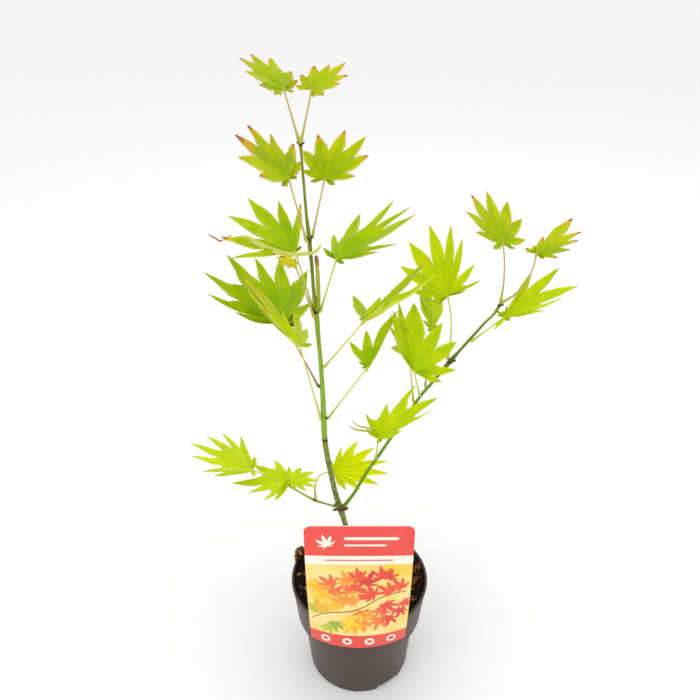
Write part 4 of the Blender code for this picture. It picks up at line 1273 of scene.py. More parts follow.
# The crown's sprays by region, with each leaf's finish and the lobes that differ from the rule.
REGIONS: dict[str, tuple[Spray, ...]] = {
    "top": (
        Spray("leaves_top", "trunk", 523.5, (
            Leaf((-53, 4, 559), (-75, 21, 579), (-18, 55), foot=(-44, 0.3, 526.3), finish=TURNING, tooth=0.05,
                stalk=PINK, ripening=0.14, sinus=0.62, odd={-4: (1.4,), -3: (1.2,), -2: (1.05, 1.2, -6), -1: (1, 1.2),
                0: (1, 1.25), 1: (0.92, 1.2, -2), 3: (1, 1, -6), 4: (0.7,)}),
            Leaf((-34, -3, 560), (-12, 6, 575), (-142, 58), foot=(-42, -0.3, 526.3), finish=TURNING, tooth=0.05,
                stalk=PINK, ripening=0.14, sinus=0.62, odd={-4: (1.5,), -3: (1.2,), -2: (1, 1.2), -1: (0.85, 1.2),
                0: (1, 1.25), 1: (1, 1.2, 6), 4: (1,)}),
        ), on_tip=True),
        Spray("leaf_second_left", "trunk", 455, (
            Leaf((-51, -10, 502.5), (-79, 9, 535), (-15, 45), spread=(1, 0.85), finish=TURNING, tooth=0.042,
                stalk=PINK, ripening=0.16, sinus=0.6, odd={-4: (0.9,), -3: (1.2,), -2: (1.13, 1.2, -2),
                -1: (1.03, 1.25, -4, 1.6), 0: (1, 1.2), 1: (0.83, 1.2), 2: (1, 1, 5), 4: (0.7,)}),
        )),
        Spray("leaf_second_right", "trunk", 456, (
            Leaf((-27, 9, 496.5), (-13, 31, 525.5), (-128, 42), finish=TURNING, tooth=0.042, stalk=PINK,
                ripening=0.12, sinus=0.58, odd={-4: (0.8,), -3: (0.8,), -1: (1.03, 1.15, -5), 0: (1, 1.15),
                1: (1.05, 1.2, 6, 1.5), 2: (1.05, 1.2, -4, 2), 3: (1.05, 1, -8, 1.5), 4: (0.75,)}),
        )),
    ),
    "left": (
        Spray("leaf_third_left", "trunk", 396, (
            Leaf((-50, 10, 440), (-99, 20, 466), (-38, 60), spread=(0.75, 0.9), finish=GREEN, stalk=LEMON,
                ripening=0.06, sinus=0.43, odd={-4: (0.6,), -3: (0.5,), -2: (1.1, 0.6, -6), -1: (1.04, 1, -6, 4.5),
                1: (1.04, 1.1), 3: (1.45, 0.5, -3, 3), 4: (0.5,)}),
        ), strips=(
            Strip(((-104.5, 12.5, 448.4), (-98.5, 10, 450), (-92, 7, 452), (-85.4, 5, 453), (-79.5, 3, 450.7),
                (-73.7, 2, 448), (-66.4, 1, 444.8), (-57.6, 0, 442.5), (-48.7, -2, 442.6), (-41.8, -5, 444.6),
                (-35.9, -7, 446.3), (-32.2, -7, 449), (-30, -6, 452.1)), 2.3, YELLOWED),
            Strip(((-98, 16, 451), (-101.9, 15, 449), (-106.7, 15, 446.6), (-109.3, 14, 449), (-112.8, 14, 451),
                (-114.7, 15, 452.6)), 0.6, TURNING, 1),
        )),
        Spray("leaf_third_small", "trunk", 392, (
            Leaf((-48.5, -16, 441), (-62, -13, 446), (-12, 67), lobes=7, finish=YELLOWED, stalk=PINK, ripening=0.15,
                sinus=0.72, odd={-1: (1, 1.3), 0: (1, 1.3), 1: (1, 1.3)}),
        )),
        Spray("leaf_fourth_left_back", "trunk", 325, (
            Leaf((-60.4, 5.5, 380.5), (-106.8, 43, 425), (-21, 52), lobes=11, finish=GREEN, stalk=RUSTY,
                ripening=0.04, sinus=0.6, odd={-5: (0.25,), -4: (0.25, 1, 4), -3: (0.82, 1.3, 8), -2: (1.03, 1, -2),
                -1: (1.03, 1, -6), 1: (0.92, 1.1), 2: (1.1, 1.1, -6), 3: (1.25, 1, -6), 4: (1, 1, -10), 5: (0.7,)}),
        )),
        Spray("leaf_fourth_left_front", "trunk", 294, (
            Leaf((-47, -22, 377), (-89, 6, 423), (10, 40), fold=(8, 5), spread=(0.4, 1), finish=BRIGHT, ripening=0.2,
                odd={-2: (1, 0.8), -1: (0.9, 0.9), 0: (1, 0.8), 1: (0.55,), 3: (1, 0.8, -8, 0.5),
                4: (1, 0.7, -10, 0.5)}),
        ), strips=(
            Strip(((-88, 6, 417), (-82, 2, 410.5), (-76, -1, 404), (-70.6, -5, 398), (-65.3, -8, 392),
                (-59.6, -12, 386), (-53.9, -16, 380.4)), 5, BRIGHT),
        )),
    ),
    "right": (
        Spray("leaf_third_right", "trunk", 395, (
            Leaf((-19, -4, 440), (34, 22, 473), (-171, 60), spread=(0.82, 0.8), finish=GREEN, stalk=LEMON,
                ripening=0.06, odd={-4: (1.1, 0.8), -3: (0.95, 0.7), -2: (0.97, 0.9, 3), -1: (1, 1, 10), 1: (1.02,),
                2: (0.96, 1, 5), 3: (0.95, 1.2, -8), 4: (0.6,)}),
        )),
        Spray("leaf_fourth_right", "trunk", 345, (
            Leaf((2, -16, 395), (57, -9, 431), (174, 55), fold=(5, 28), finish=LIME, ripening=0.1, odd={-4: (0.5,),
                -3: (1.2, 1.1, -9), -2: (0.52, 1.5, 2), -1: (1.12, 0.65, 3), 0: (1, 0.65), 1: (0.6,), 2: (0.8,),
                3: (0.5,), 4: (0.3,)}),
        )),
        Spray("leaf_fifth_right", "trunk", 294, (
            Leaf((5, -8, 349.5), (24, 16, 377), (-149, 48), fold=(5, 45), finish=GREEN, ripening=0.05,
                odd={-4: (0.4,), -3: (0.45,), -2: (0.98, 1, -5), -1: (0.82, 1.1, -3), 0: (1.25, 1.25), 1: (1.1,)}),
        )),
    ),
    "bough": (
        Spray("leaf_bough_upper", "right_bough", 341, (
            Leaf((68.5, 23, 396.5), (55, 55, 444), (-132, 19), lobes=11, bow=(3, 0, 1), spread=(1, 0.88),
                finish=BRIGHT, ripening=0.05, odd={-5: (0.6,), -4: (0.6,), -3: (0.75,), -2: (0.94,), -1: (1.04, 1.15),
                0: (1, 1.15), 1: (0.97, 1.15, -3), 2: (0.9, 1.1, -5), 3: (0.79,), 4: (0.95, 1, 5), 5: (0.8, 1, -6)}),
        )),
        Spray("leaf_bough_front", "right_bough", 309, (
            Leaf((40, -26, 356.5), (37, 20, 395), (-44, 43), spread=(0.4, 1), finish=LIME, ripening=0.05, sinus=0.52,
                odd={-4: (0.6,), -3: (0.8, 1.3), -2: (0.9, 1.4), -1: (0.95, 1.4), 0: (1, 2.1, 7), 1: (0.96, 1.1, 8),
                2: (1.12,), 3: (1.1,), 4: (1.2, 1.6, -8)}),
        )),
        Spray("leaf_bough_back", "right_bough", 316, (
            Leaf((59, 34, 360.5), (56, 57, 388), (-28, 27), lobes=7, finish=LIME, ripening=0.05, odd={-3: (0.6,),
                -2: (0.6, 1, 8), -1: (1, 1.9, 6), 0: (1.15, 2.2, -9), 1: (1.25, 1.6, -4), 2: (0.6,), 3: (0.5,)}),
        )),
        Spray("leaf_bough_inner", "right_bough", 302, (
            Leaf((40, 24, 344.5), (27, 42, 374), (-20, 32), lobes=7, finish=BRIGHT, ripening=0.15,
                odd={-2: (1.3, 0.9)}),
        )),
    ),
    "bough_tip": (
        Spray("leaves_bough_tip", "right_bough", 394, (
            Leaf((105, 10, 447), (95, 38, 478), (-38, 40), foot=(108.8, 13, 396.6), finish=TURNING, tooth=0.032,
                stalk=PINK, ripening=0.12, bow=(2, 0, 0), sinus=0.55, odd={-4: (1,), -3: (1.1, 1, 8), -2: (1.12, 1.1),
                -1: (1, 1.25), 0: (1, 1.25), 1: (1, 1.2), 2: (0.95,), 4: (0.8,)}),
            Leaf((132, 14, 437), (165, 16, 456), (-174, 62), spread=(1, 0.75), bow=(5.5, 0, -4.5),
                foot=(110, 13, 396.2), finish=TURNING, tooth=0.032, stalk=PINK, ripening=0.2, sinus=0.6,
                odd={-4: (1.1, 1.2), -3: (0.5, 1.2), -2: (0.58, 1.2), -1: (1.17, 1.3, 0, 1.8), 0: (0.95, 1.3, 0, 1.5),
                1: (0.9, 1.2), 2: (0.9,)}),
        ), on_tip=True),
        Spray("leaf_bough_outer", "right_bough", 362, (
            Leaf((112, 6, 387), (162, 0, 418), (-176, 58), fold=(20, 20), spread=(0.85, 0.85), finish=BRIGHT,
                ripening=0.05, sinus=0.55, odd={-4: (0.6, 0.5, -25), -3: (0.3,), -2: (0.84, 1, 5), -1: (0.96, 1.1),
                0: (1, 1.1), 1: (0.9, 1, 2), 2: (0.84, 1.3, -9), 3: (0.4,), 4: (1, 0.5, 20)}),
        )),
    ),
    "foot": (
        Spray("leaf_bough_low", "right_bough", 246, (
            Leaf((15, -9, 279.5), (63, 4, 313), (-137, 52), fold=(3, 48), finish=BRIGHT, ripening=0.05, sinus=0.6,
                odd={-4: (0.7,), -3: (0.74, 0.9, -5), -2: (0.6, 1.5, 7), -1: (0.92, 0.5, 7), 0: (1, 1.1),
                1: (1, 0.5, 3), 2: (0.8,), 3: (0.35,), 4: (0.3,)}),
        ), strips=(
            Strip(((14.2, -11, 286), (4.2, -14, 291.3), (-3.3, -16, 293.8), (-9.8, -17, 298.6)), 0.8, TURNING, 0.4),
            Strip(((14.2, -12, 288.8), (5.8, -14, 294.3), (-1.7, -16, 297.8), (-7.4, -17, 303.6)), 0.6, TURNING, 0.6),
        )),
        Spray("leaf_inner_right", "left_twig", 202, (
            Leaf((-24, 22, 218), (25, 22, 231.5), (-84, -13), spread=(0.75, 0.75), bow=(-6, 3, 6), finish=SUNLIT,
                ripening=0.05, sinus=0.6, odd={-3: (1.15,), -2: (1.1, 1.1, -6), -1: (0.97, 1.1, -6), 0: (1, 1.1),
                1: (1.05, 1.1, -4), 2: (1.1, 1.1, -4), 3: (1.12,), 4: (1.5,)}),
        )),
        Spray("leaves_left_twig", "left_twig", 216.5, (
            Leaf((-95, 3, 236), (-149, 16, 257), (34, 61), foot=(-63, 3.4, 218), finish=BRIGHT, ripening=0.05,
                sinus=0.56, odd={-4: (0.6,), -3: (1.45, 0.8, 18), -2: (1.25, 0.9, 2), 2: (1.3, 0.8, -12),
                3: (1.5, 0.8, -22), 4: (1.3, 0.8, -28)}),
            Leaf((-63, 3, 226), (-112, 2, 221), (124, 80), foot=(-62.6, 3.8, 217.8), finish=BRIGHT, ripening=0.05,
                sinus=0.58, odd={-4: (1.2,), -3: (1.18, 1, 10), -2: (0.95, 1, -8), -1: (0.82,), 0: (1.04,),
                1: (0.96, 0.9, 8), 2: (0.85, 0.9, 8), 3: (0.6,), 4: (0.6,)}),
            Leaf((-61, -6, 233), (-36, -2, 229), (43, 79), foot=(-62, 2.2, 218.4), finish=BRIGHT, ripening=0.05,
                sinus=0.58),
        ), on_tip=True),
    ),
}


# ---- pot and compost


@dataclass
class Pot:
    """The nursery pot: a turned shell with a rolled lip, a straight collar and drainage notches."""

    height: float = 109.0
    rim_radius: float = 65.0
    collar_foot: tuple[float, float] = (60.3, 68.0)
    body_top: tuple[float, float] = (54.0, 59.0)
    foot_radius: float = 48.7
    wall: float = 1.4
    floor: float = 1.8
    notch_bearings: tuple[float, float] = (-55.0, 125.0)
    lip: float = 0.9  # how far the lip stands out of the wall
    roll: float = 0.8  # radius of the lip's edge
    notch_width: float = 24.0
    notch_height: float = 5.0
    notch_round: float = 2.0
    cutter: tuple[float, float] = (10.0, 9.0)  # depth and height of the block that cuts a notch
    steps: int = 144

    def profile(self) -> list[tuple[float, float]]:
        """The shell's outline from the middle of its floor over the lip to the middle of its underside.

        Returns:
            Places of (radius, height) in mm.
        """
        rim, lip, edge = self.rim_radius, self.height, self.roll
        inner = rim - self.lip - self.wall
        collar, collar_z = self.collar_foot
        body, body_z = self.body_top
        roll = [(rim - edge + edge * math.sin(a), lip - edge + edge * math.cos(a)) for a in (0.0, 0.5, 1.0, 1.57)]
        under = [(rim - 0.05, lip - 2.1), (rim - 0.3, lip - 2.45), (rim - edge, lip - 2.6)]
        turn_in = [
            (collar, collar_z), (collar - 0.25, collar_z - 1.3), (collar - 0.9, collar_z - 2.5),
            (collar - 2.2, collar_z - 4.0), (body + 1.8, body_z + 2.6), (body + 0.5, body_z + 1.0), (body, body_z),
        ]
        grooves = [(44.0, 0.0), (43.2, 0.5), (36.0, 0.5), (35.2, 0.0), (22.0, 0.0), (21.4, 0.4), (9.0, 0.4), (8.4, 0.0)]
        return [
            (0.0, self.floor), (self.foot_radius - self.wall, self.floor), (body - self.wall, body_z),
            (collar - self.wall, collar_z), (inner - 0.35, lip - 14.0), (inner, lip - 13.2), (inner, lip - 0.9),
            (inner + 0.3, lip - 0.3), (inner + 0.9, lip), *roll, *under, *turn_in,
            (self.foot_radius + 0.1, 1.6), (self.foot_radius - 0.3, 0.7), (self.foot_radius - 1.5, 0.0), *grooves,
            (0.0, 0.0),
        ]

    def build(self) -> bpy.types.Object:
        """Turns the shell and cuts its notches.

        Returns:
            The finished piece.
        """
        piece = Piece("pot_shell", "pot_plastic", ("pot",), crease=32.0)
        piece.index(PotFinish())
        spun(piece.shape, self.profile(), self.steps)
        pot = piece.done()
        for bearing in self.notch_bearings:
            self.cut_notch(pot, bearing)
        return pot

    def cut_notch(self, pot: bpy.types.Object, bearing: float) -> None:
        """Cuts one drainage notch through the foot of the wall.

        Args:
            pot: The turned shell.
            bearing: The notch's bearing in degrees.
        """
        cutter, (depth, tall) = bmesh.new(), self.cutter
        made = bmesh.ops.create_cube(cutter, size=1.0)["verts"]
        bmesh.ops.scale(cutter, vec=Vector((depth, self.notch_width, tall)) * MM, verts=made)
        inward = [edge for edge in cutter.edges if abs((edge.verts[0].co - edge.verts[1].co).x) > depth / 2 * MM]
        bmesh.ops.bevel(
            cutter, geom=[edge for edge in inward if edge.verts[0].co.z > 0], offset=self.notch_round * MM,
            affect="EDGES", segments=4, profile=0.5, material=-1,
        )
        middle = Vector((self.foot_radius - 1.0, 0, self.notch_height - tall / 2)) * MM
        bmesh.ops.translate(cutter, vec=middle, verts=cutter.verts)
        turn = Matrix.Rotation(math.radians(bearing), 3, "Z")
        bmesh.ops.rotate(cutter, cent=(0, 0, 0), matrix=turn, verts=cutter.verts)
        mesh = bpy.data.meshes.new("notch")
        cutter.to_mesh(mesh)
        cutter.free()
        tool = bpy.data.objects.new("notch", mesh)
        bpy.context.scene.collection.objects.link(tool)
        cut = pot.modifiers.new("notch", "BOOLEAN")
        cut.operation, cut.object, cut.solver = "DIFFERENCE", tool, "EXACT"
        graph = bpy.context.evaluated_depsgraph_get()
        shell = bpy.data.meshes.new_from_object(pot.evaluated_get(graph))
        pot.modifiers.clear()
        pot.data = shell
        bpy.data.objects.remove(tool, do_unlink=True)


def scattered(luck: random.Random, reach: float) -> tuple[float, float, float]:
    """A place spread evenly over a disc: its x, its y and its distance from the middle."""
    far, bearing = reach * math.sqrt(luck.random()), luck.uniform(0, math.tau)
    return far * math.cos(bearing), far * math.sin(bearing), far


@dataclass
class Compost:
    """The root ball with its crumbly top, bark chips and the raised clump beside the rim."""

    top: float = 98.0
    edge: float = 62.1  # radius of the top, at the pot's wall
    bank: tuple[float, float, float] = (8.5, 34.0, 24.0)  # rise to the rim, the radius it starts at and its width
    mound: tuple[float, float] = (1.6, 9.0)  # height and radius of the swelling round the trunk
    clump: tuple[float, float] = (6.0, 8.0)  # height and radius of the swelling under the clump
    clump_bearing: float = 157.0
    clump_radius: float = 60.0
    rings: int = 56
    steps: int = 150
    chips: int = 170
    chip_reach: float = 60.0
    trunk_room: float = 6.0  # radius round the trunk that stays free of chips
    rim_room: float = 55.0  # radius past which chips are smaller
    crumbs: int = 620
    crumb_reach: float = 61.0
    # The chips with a place of their own: middle, size, turn and paleness. The first eleven are the clump.
    placed: tuple[tuple[Place, Place, Place, float], ...] = (
        ((-59, 24, 117.6), (5, 4.4, 4.4), (0.5, -1, 2.6), 0.4),
        ((-61.2, 23.5, 115.2), (5, 4.4, 4), (0.2, -0.6, 1.8), 0.55),
        ((-56.8, 24.5, 118.6), (5, 4.6, 4), (-0.6, -0.4, 0.7), 0.25),
        ((-58.2, 23.5, 114), (8, 6.6, 6), (1.2, -0.3, 0.6), 0.12),
        ((-61, 22.8, 111.6), (5.5, 5, 4.4), (-0.6, -0.4, 0.7), 0.45),
        ((-58, 22.6, 110), (8, 6.4, 6.4), (0.9, 0.2, 0.3), 0.1),
        ((-55.4, 24, 115.6), (7, 5.6, 5.6), (-0.3, 0.6, 1.4), 0.12),
        ((-55, 24, 111), (8, 7, 6.4), (0.4, 0.4, 2.2), 0.05),
        ((-60.6, 20.6, 108.4), (5, 4.4, 4), (1, -0.2, 0.2), 0.3),
        ((-62.2, 22, 114), (3, 2.4, 2.6), (0.3, 0.9, 1.2), 1),
        ((-57.4, 21, 116.6), (2.6, 2.2, 2), (0.8, 0.1, 0.9), 0.8),
        ((58.6, 13.1, 107), (9, 5, 2.4), (0.3, 0.2, 1.1), 0.4),
        ((55.5, 6.5, 106.6), (8, 4.4, 2.2), (0.2, 0.4, 0.3), 0.2),
        ((53.3, -5.9, 106.4), (11, 7, 2.6), (0.5, -0.2, 0.8), 0.28),
        ((50, -24, 105.6), (9, 3.4, 2), (0.3, 0.1, 2.6), 0.45),
        ((57.6, -1, 107.4), (6, 4, 2.4), (0.1, 0.5, 1.9), 0.15),
        ((-57.4, 2.9, 107), (6, 3, 2), (0.2, 0.3, 0.6), 0.4),
        ((-55.4, -12.7, 106.4), (5, 3.4, 2.2), (0.4, 0.1, 2), 0.25),
    )

    def rise(self, x: float, y: float) -> float:
        """The height of the compost's top above its mean level, in mm.

        Args:
            x, y: The place, in mm.

        Returns:
            The height.
        """
        spot = Vector((x, y, 0.0))
        swell = 2.2 * noise.noise(spot * 0.045 + Vector((3, 7, 1)))
        swell += 1.3 * noise.noise(spot * 0.13 + Vector((5, 2, 8)))
        swell += 0.8 * abs(noise.noise(spot * 0.42)) + 0.45 * noise.noise(spot * 1.1)
        bank, start, width = self.bank
        swell += bank * eased((spot.length - start) / width)
        swell += self.mound[0] * math.exp(-((spot.length / self.mound[1]) ** 2))
        bearing = math.radians(self.clump_bearing)
        clump = Vector((math.cos(bearing), math.sin(bearing), 0.0)) * self.clump_radius
        share = (spot - clump).length / self.clump[1]
        return swell + self.clump[0] * math.exp(-share * share) * (1.0 + 0.35 * noise.noise(spot * 0.5))

    def build_bed(self) -> bpy.types.Object:
        """Turns the root ball and roughens its top.

        Returns:
            The finished piece.
        """
        piece = Piece("compost_bed", "compost", ("compost",), crease=180.0)
        shape, tone = piece.shape, piece.layer("tone")
        piece.index(Ground.PEAT.value)
        profile = [(self.edge * k / self.rings, self.top) for k in range(self.rings + 1)]
        profile += [(61.4, 90.0), (58.5, 68.0), (52.2, 59.0), (47.0, 7.5), (41.0, 2.2), (0.0, 2.2)]
        spun(shape, profile, self.steps)
        for vertex in shape.verts:
            vertex[tone] = 0.35
            if vertex.co.z > (self.top - 0.5) * MM:
                x, y = vertex.co.x / MM, vertex.co.y / MM
                vertex.co.z += self.rise(x, y) * MM
                vertex[tone] = 0.4 + 0.5 * noise.noise(Vector((x, y, 0)) * 0.3)
        return piece.done()

    def chip(self, piece: Piece, spot: Place, size: Place, turn: Euler, tone_value: float, luck: random.Random) -> None:
        """Adds one chip of bark: a flat, split block with ragged ends.

        Args:
            piece: The piece that it is added to.
            spot: Its middle, in mm.
            size: Its length, width and thickness, in mm.
            turn: The way it lies.
            tone_value: How pale it is, from 0 to 1.
            luck: The source of its ragged shape.
        """
        made = bmesh.ops.create_cube(piece.shape, size=1.0)["verts"]
        edges = list(dict.fromkeys(edge for vertex in made for edge in vertex.link_edges))
        split = bmesh.ops.subdivide_edges(piece.shape, edges=edges, cuts=2, use_grid_fill=True)["geom_inner"]
        faces = faces_of(part for part in split if isinstance(part, bmesh.types.BMVert))
        verts = list(dict.fromkeys(vertex for face in faces for vertex in face.verts))
        tone = piece.layer("tone")
        shift = Vector([luck.uniform(0, 90) for _ in range(3)])
        bend = luck.uniform(-0.5, 0.5)
        for vertex in verts:
            local = vertex.co.copy()
            vertex[tone] = min(1.0, max(0.0, tone_value + luck.uniform(-0.12, 0.12)))
            narrow = 1.0 - 0.45 * (2.0 * abs(local.x)) ** 2 * luck.uniform(0.5, 1.0)
            places = (local * 3.1 + shift, local * 3.7 - shift, local * 2.3 + shift * 2)
            rough = Vector([noise.noise(place) for place in places])
            local = Vector((local.x, local.y * narrow, local.z + bend * local.x * local.x)) + rough * 0.26
            local = Vector([measure * share for measure, share in zip(size, local)])
            local.rotate(turn)
            vertex.co = (Vector(spot) + local) * MM
        piece.coat(verts, Ground.CHIP.value)

    def build_chips(self) -> bpy.types.Object:
        """Scatters chips over the top and stacks the clump's chips against the rim.

        Returns:
            The finished piece.
        """
        piece = Piece("compost_chips", "compost", crease=34.0)
        luck = random.Random("chips")
        for _ in range(self.chips):
            x, y, far = scattered(luck, self.chip_reach)
            if far < self.trunk_room:
                continue
            size = luck.uniform(2.5, 9.0) * (1.0 if far < self.rim_room else 0.6)
            turn = Euler((luck.gauss(0, 0.45), luck.gauss(0, 0.45), luck.uniform(0, math.tau)))
            spot = (x, y, self.top + self.rise(x, y) + 0.9)
            block = (size, size * luck.uniform(0.35, 0.7), luck.uniform(1.0, 2.4))
            self.chip(piece, spot, block, turn, luck.random() ** 2 * 0.6, luck)
        for spot, size, turn, tone_value in self.placed:
            self.chip(piece, spot, size, Euler(turn), tone_value, luck)
        return piece.done()

    def build_crumbs(self) -> bpy.types.Object:
        """Scatters small crumbs of peat over the top.

        Returns:
            The finished piece.
        """
        piece = Piece("compost_crumbs", "compost", crease=180.0)
        luck = random.Random("crumbs")
        tone = piece.layer("tone")
        for _ in range(self.crumbs):
            x, y, far = scattered(luck, self.crumb_reach)
            size = luck.uniform(0.5, 1.7)
            made = bmesh.ops.create_icosphere(piece.shape, subdivisions=1, radius=1.0)["verts"]
            shift = Vector((x, y, far))
            stretch = Vector((luck.uniform(0.7, 1.3), luck.uniform(0.6, 1.1), luck.uniform(0.5, 0.9))) * size
            level, dark = self.top + self.rise(x, y), luck.uniform(0.2, 1.0)
            for vertex in made:
                lump = 1.0 + 0.5 * noise.noise(vertex.co * 1.7 + shift)
                vertex.co = (Vector((x, y, level)) + vertex.co * lump * stretch) * MM
                vertex[tone] = dark
            piece.coat(made, Ground.PEAT.value)
        return piece.done()

    def build(self) -> None:
        """Builds the bed, the chips and the crumbs."""
        self.build_bed()
        self.build_chips()
        self.build_crumbs()


# ---- label


@dataclass(frozen=True)
class Mark:
    """Where one mark of the print lies: its place on the flat card in mm, its ink and the layers of ink below."""

    across: float
    height: float
    ink: Ink
    layer: int = 1


@dataclass
class Label:
    """The care label: a bent coated card with a plain printed band, leaf motifs and a hook on the rim."""

    width: float = 90.0
    middle: float = -1.5
    foot: float = 88.0
    top: float = 235.5
    thickness: float = 0.8
    bend_radius: float = 83.0
    corner: float = 6.0
    rim_radius: float = 65.0
    pot_height: float = 109.0
    columns: int = 48
    rows: int = 72
    header: float = 202.5  # height that the coral head starts at
    band: float = 10.0  # height of the cream band under it
    footer: float = 104.0  # height that the coral foot ends at
    ink_lift: float = 0.05  # how far the first ink stands off the card
    ink_layer: float = 0.03  # and each further one off the last
    lip: float = 0.9  # how far the pot's lip stands out of its wall
    wall: float = 1.4
    tongue_gap: float = 1.6  # between the wall and the tongue's middle
    tongue_foot: float = 101.0
    hook_width: tuple[float, float] = (7.0, 6.0)  # half the width of the bridge and of the tongue
    hook_thickness: float = 0.9
    twig_start: tuple[float, float] = (-42.0, 122.0)
    twig_step: tuple[float, float] = (9.2, 4.2)
    # The rows of leaves on the twig: height over it and lean in degrees.
    leaf_rows: tuple[tuple[float, float], ...] = (
        (26.0, 20.0), (-22.0, 190.0), (38.0, -20.0), (9.0, -30.0), (-9.0, 150.0),
    )
    leaf_span: tuple[float, float] = (106.0, 186.0)  # heights that the leaves stay between
    # The bars in place of lines of print: place, ink, length and height. The badges: place across, rays and cut.
    bars: tuple[tuple[Mark, float, float], ...] = (
        (Mark(10, 222, Ink.CREAM), 46, 3.2), (Mark(5, 214.5, Ink.CREAM), 36, 2),
        (Mark(0, 197.5, Ink.CORAL), 60, 1.2),
    )
    badges: tuple[tuple[float, int, float], ...] = ((-30, 8, 0.35), (-10, 3, 0.45), (10, 5, 0.4), (30, 0, 0))

    def point(self, across: float, height: float, proud: float) -> Vector:
        """A place on the card, from its place on the flat print and how far it stands off the back, in metres.

        Args:
            across, height, proud: The three, in mm.

        Returns:
            The place.
        """
        bend = (1.0 - (height - self.foot) / (self.top - self.foot)) ** 2
        turn = across / self.bend_radius
        bent = (self.bend_radius * math.sin(turn), self.bend_radius * (1.0 - math.cos(turn)))
        x = across + (bent[0] - across) * bend
        y = bent[1] * bend - self.rim_radius - GAP - proud
        return Vector((x + self.middle, y, height)) * MM

    def printed(self, across: float, height: float, layer: int) -> Vector:
        """A place on the front of the card, on top of that many layers of ink, in metres."""
        return self.point(across, height, self.thickness + self.ink_lift + self.ink_layer * layer)

    def build_card(self) -> bpy.types.Object:
        """Bends the card, prints its bands and adds the hook that holds it on the rim.

        Returns:
            The finished piece.
        """
        piece = Piece("label_card", "card_print", ("care_label",), crease=40.0)
        shape = piece.shape
        inks = (Ink.CARD, Ink.CORAL, Ink.CREAM, Ink.SUNSET)
        card, coral, cream, picture = (piece.index(ink.value) for ink in inks)
        made = bmesh.ops.create_grid(shape, x_segments=self.columns, y_segments=self.rows, size=1.0)["verts"]
        levels = self.levels()
        for vertex in made:
            height = levels[row_of(vertex, self.rows)]
            over = max(0.0, height - (self.top - self.corner))
            inset = self.corner - math.sqrt(max(0.0, self.corner**2 - over**2))
            vertex.co = self.point(vertex.co.x * (self.width / 2 - inset), height, self.thickness)
        front = list(shape.faces)
        for face in front:
            height = face.calc_center_median().z / MM
            face.material_index = coral if height > self.header or height < self.footer else picture
            if self.header - self.band < height <= self.header:
                face.material_index = cream
        kept = set(front)
        thickened(shape, front, self.thickness)
        bmesh.ops.recalc_face_normals(shape, faces=shape.faces)
        for face in shape.faces:
            if face not in kept:
                face.material_index = card
        self.add_hook(piece)
        return piece.done()

    def levels(self) -> list[float]:
        """The heights of the card's rows, with rows at the print's borders and close ones round the corners.

        Returns:
            The heights in mm, from the foot up.
        """
        corner = self.top - self.corner
        arcs = [corner + self.corner * math.sin(math.radians(a)) for a in (15, 30, 45, 60, 75, 90)]
        borders = (self.foot, self.footer, self.header - self.band, self.header, corner)
        free = self.rows - len(arcs)
        spans = [b - a for a, b in zip(borders, borders[1:])]
        counts = [max(1, round(free * span / sum(spans))) for span in spans]
        counts[1] += free - sum(counts)
        levels = [self.foot]
        for low, high, count in zip(borders, borders[1:], counts):
            levels += [low + (high - low) * k / count for k in range(1, count + 1)]
        return levels + arcs

    def add_hook(self, piece: Piece) -> None:
        """Adds the rounded bridge over the rim and the tongue inside the wall, as one bent strip.

        Args:
            piece: The card.
        """
        back = self.rim_radius - self.lip - self.wall - self.tongue_gap
        start, end = -self.rim_radius - GAP - 0.1, -back + 0.5
        level = self.pot_height + GAP + 0.5
        route = [
            (start, level), (start + 1.0, level), ((start + end) / 2, level + 0.1), (end - 1.0, level),
            (end - 0.2, level - 0.9), (end, level - 3.0), (end, self.tongue_foot),
        ]
        path, shape = smoothed(route, 0.6), piece.shape
        last = len(path) - 1
        made = bmesh.ops.create_grid(shape, x_segments=10, y_segments=last, size=1.0)["verts"]
        for vertex in made:
            k = row_of(vertex, last)
            narrow = self.hook_width[k >= len(path) * 0.5]
            narrow -= 0.5 * max(0, k - len(path) + 5)
            vertex.co = Vector((self.middle + vertex.co.x * narrow, path[k].x, path[k].y)) * MM
        thickened(shape, piece.coat(made, Ink.CARD.value), self.hook_thickness)

    def motif(self, piece: Piece, mark: Mark, size: float, turn: float, seed: str) -> None:
        """Prints one leaf motif, as a skin of ink that follows the card.

        Args:
            piece: The piece that it is added to.
            mark: Its stalk's place.
            size: Its middle lobe's length, in mm.
            turn: How far its middle lobe leans to the right of upright, in degrees.
            seed: The seed of its lobes.
        """
        leaf = Leaf((0, 0, 0), (0, 0, 1), (-90, 0), lobes=7)
        luck = random.Random(seed)
        outline = Outline(leaf.lobe_plan(seed), columns=4, heart_rows=3, lobe_rows=8, tooth=0.03)
        verts = outline.lay(piece, luck, 0.0)
        lean, border = math.radians(turn), self.width / 2 - 0.4
        tone, tint = piece.layer("tone"), luck.random()
        for vertex in verts:
            right, up = leaned(vertex.co.x, vertex.co.y, lean)
            x = min(border, max(-border, right * size + mark.across))
            vertex.co = self.printed(x, up * size + mark.height, mark.layer)
            vertex[tone] = tint
        piece.coat(verts, mark.ink.value)

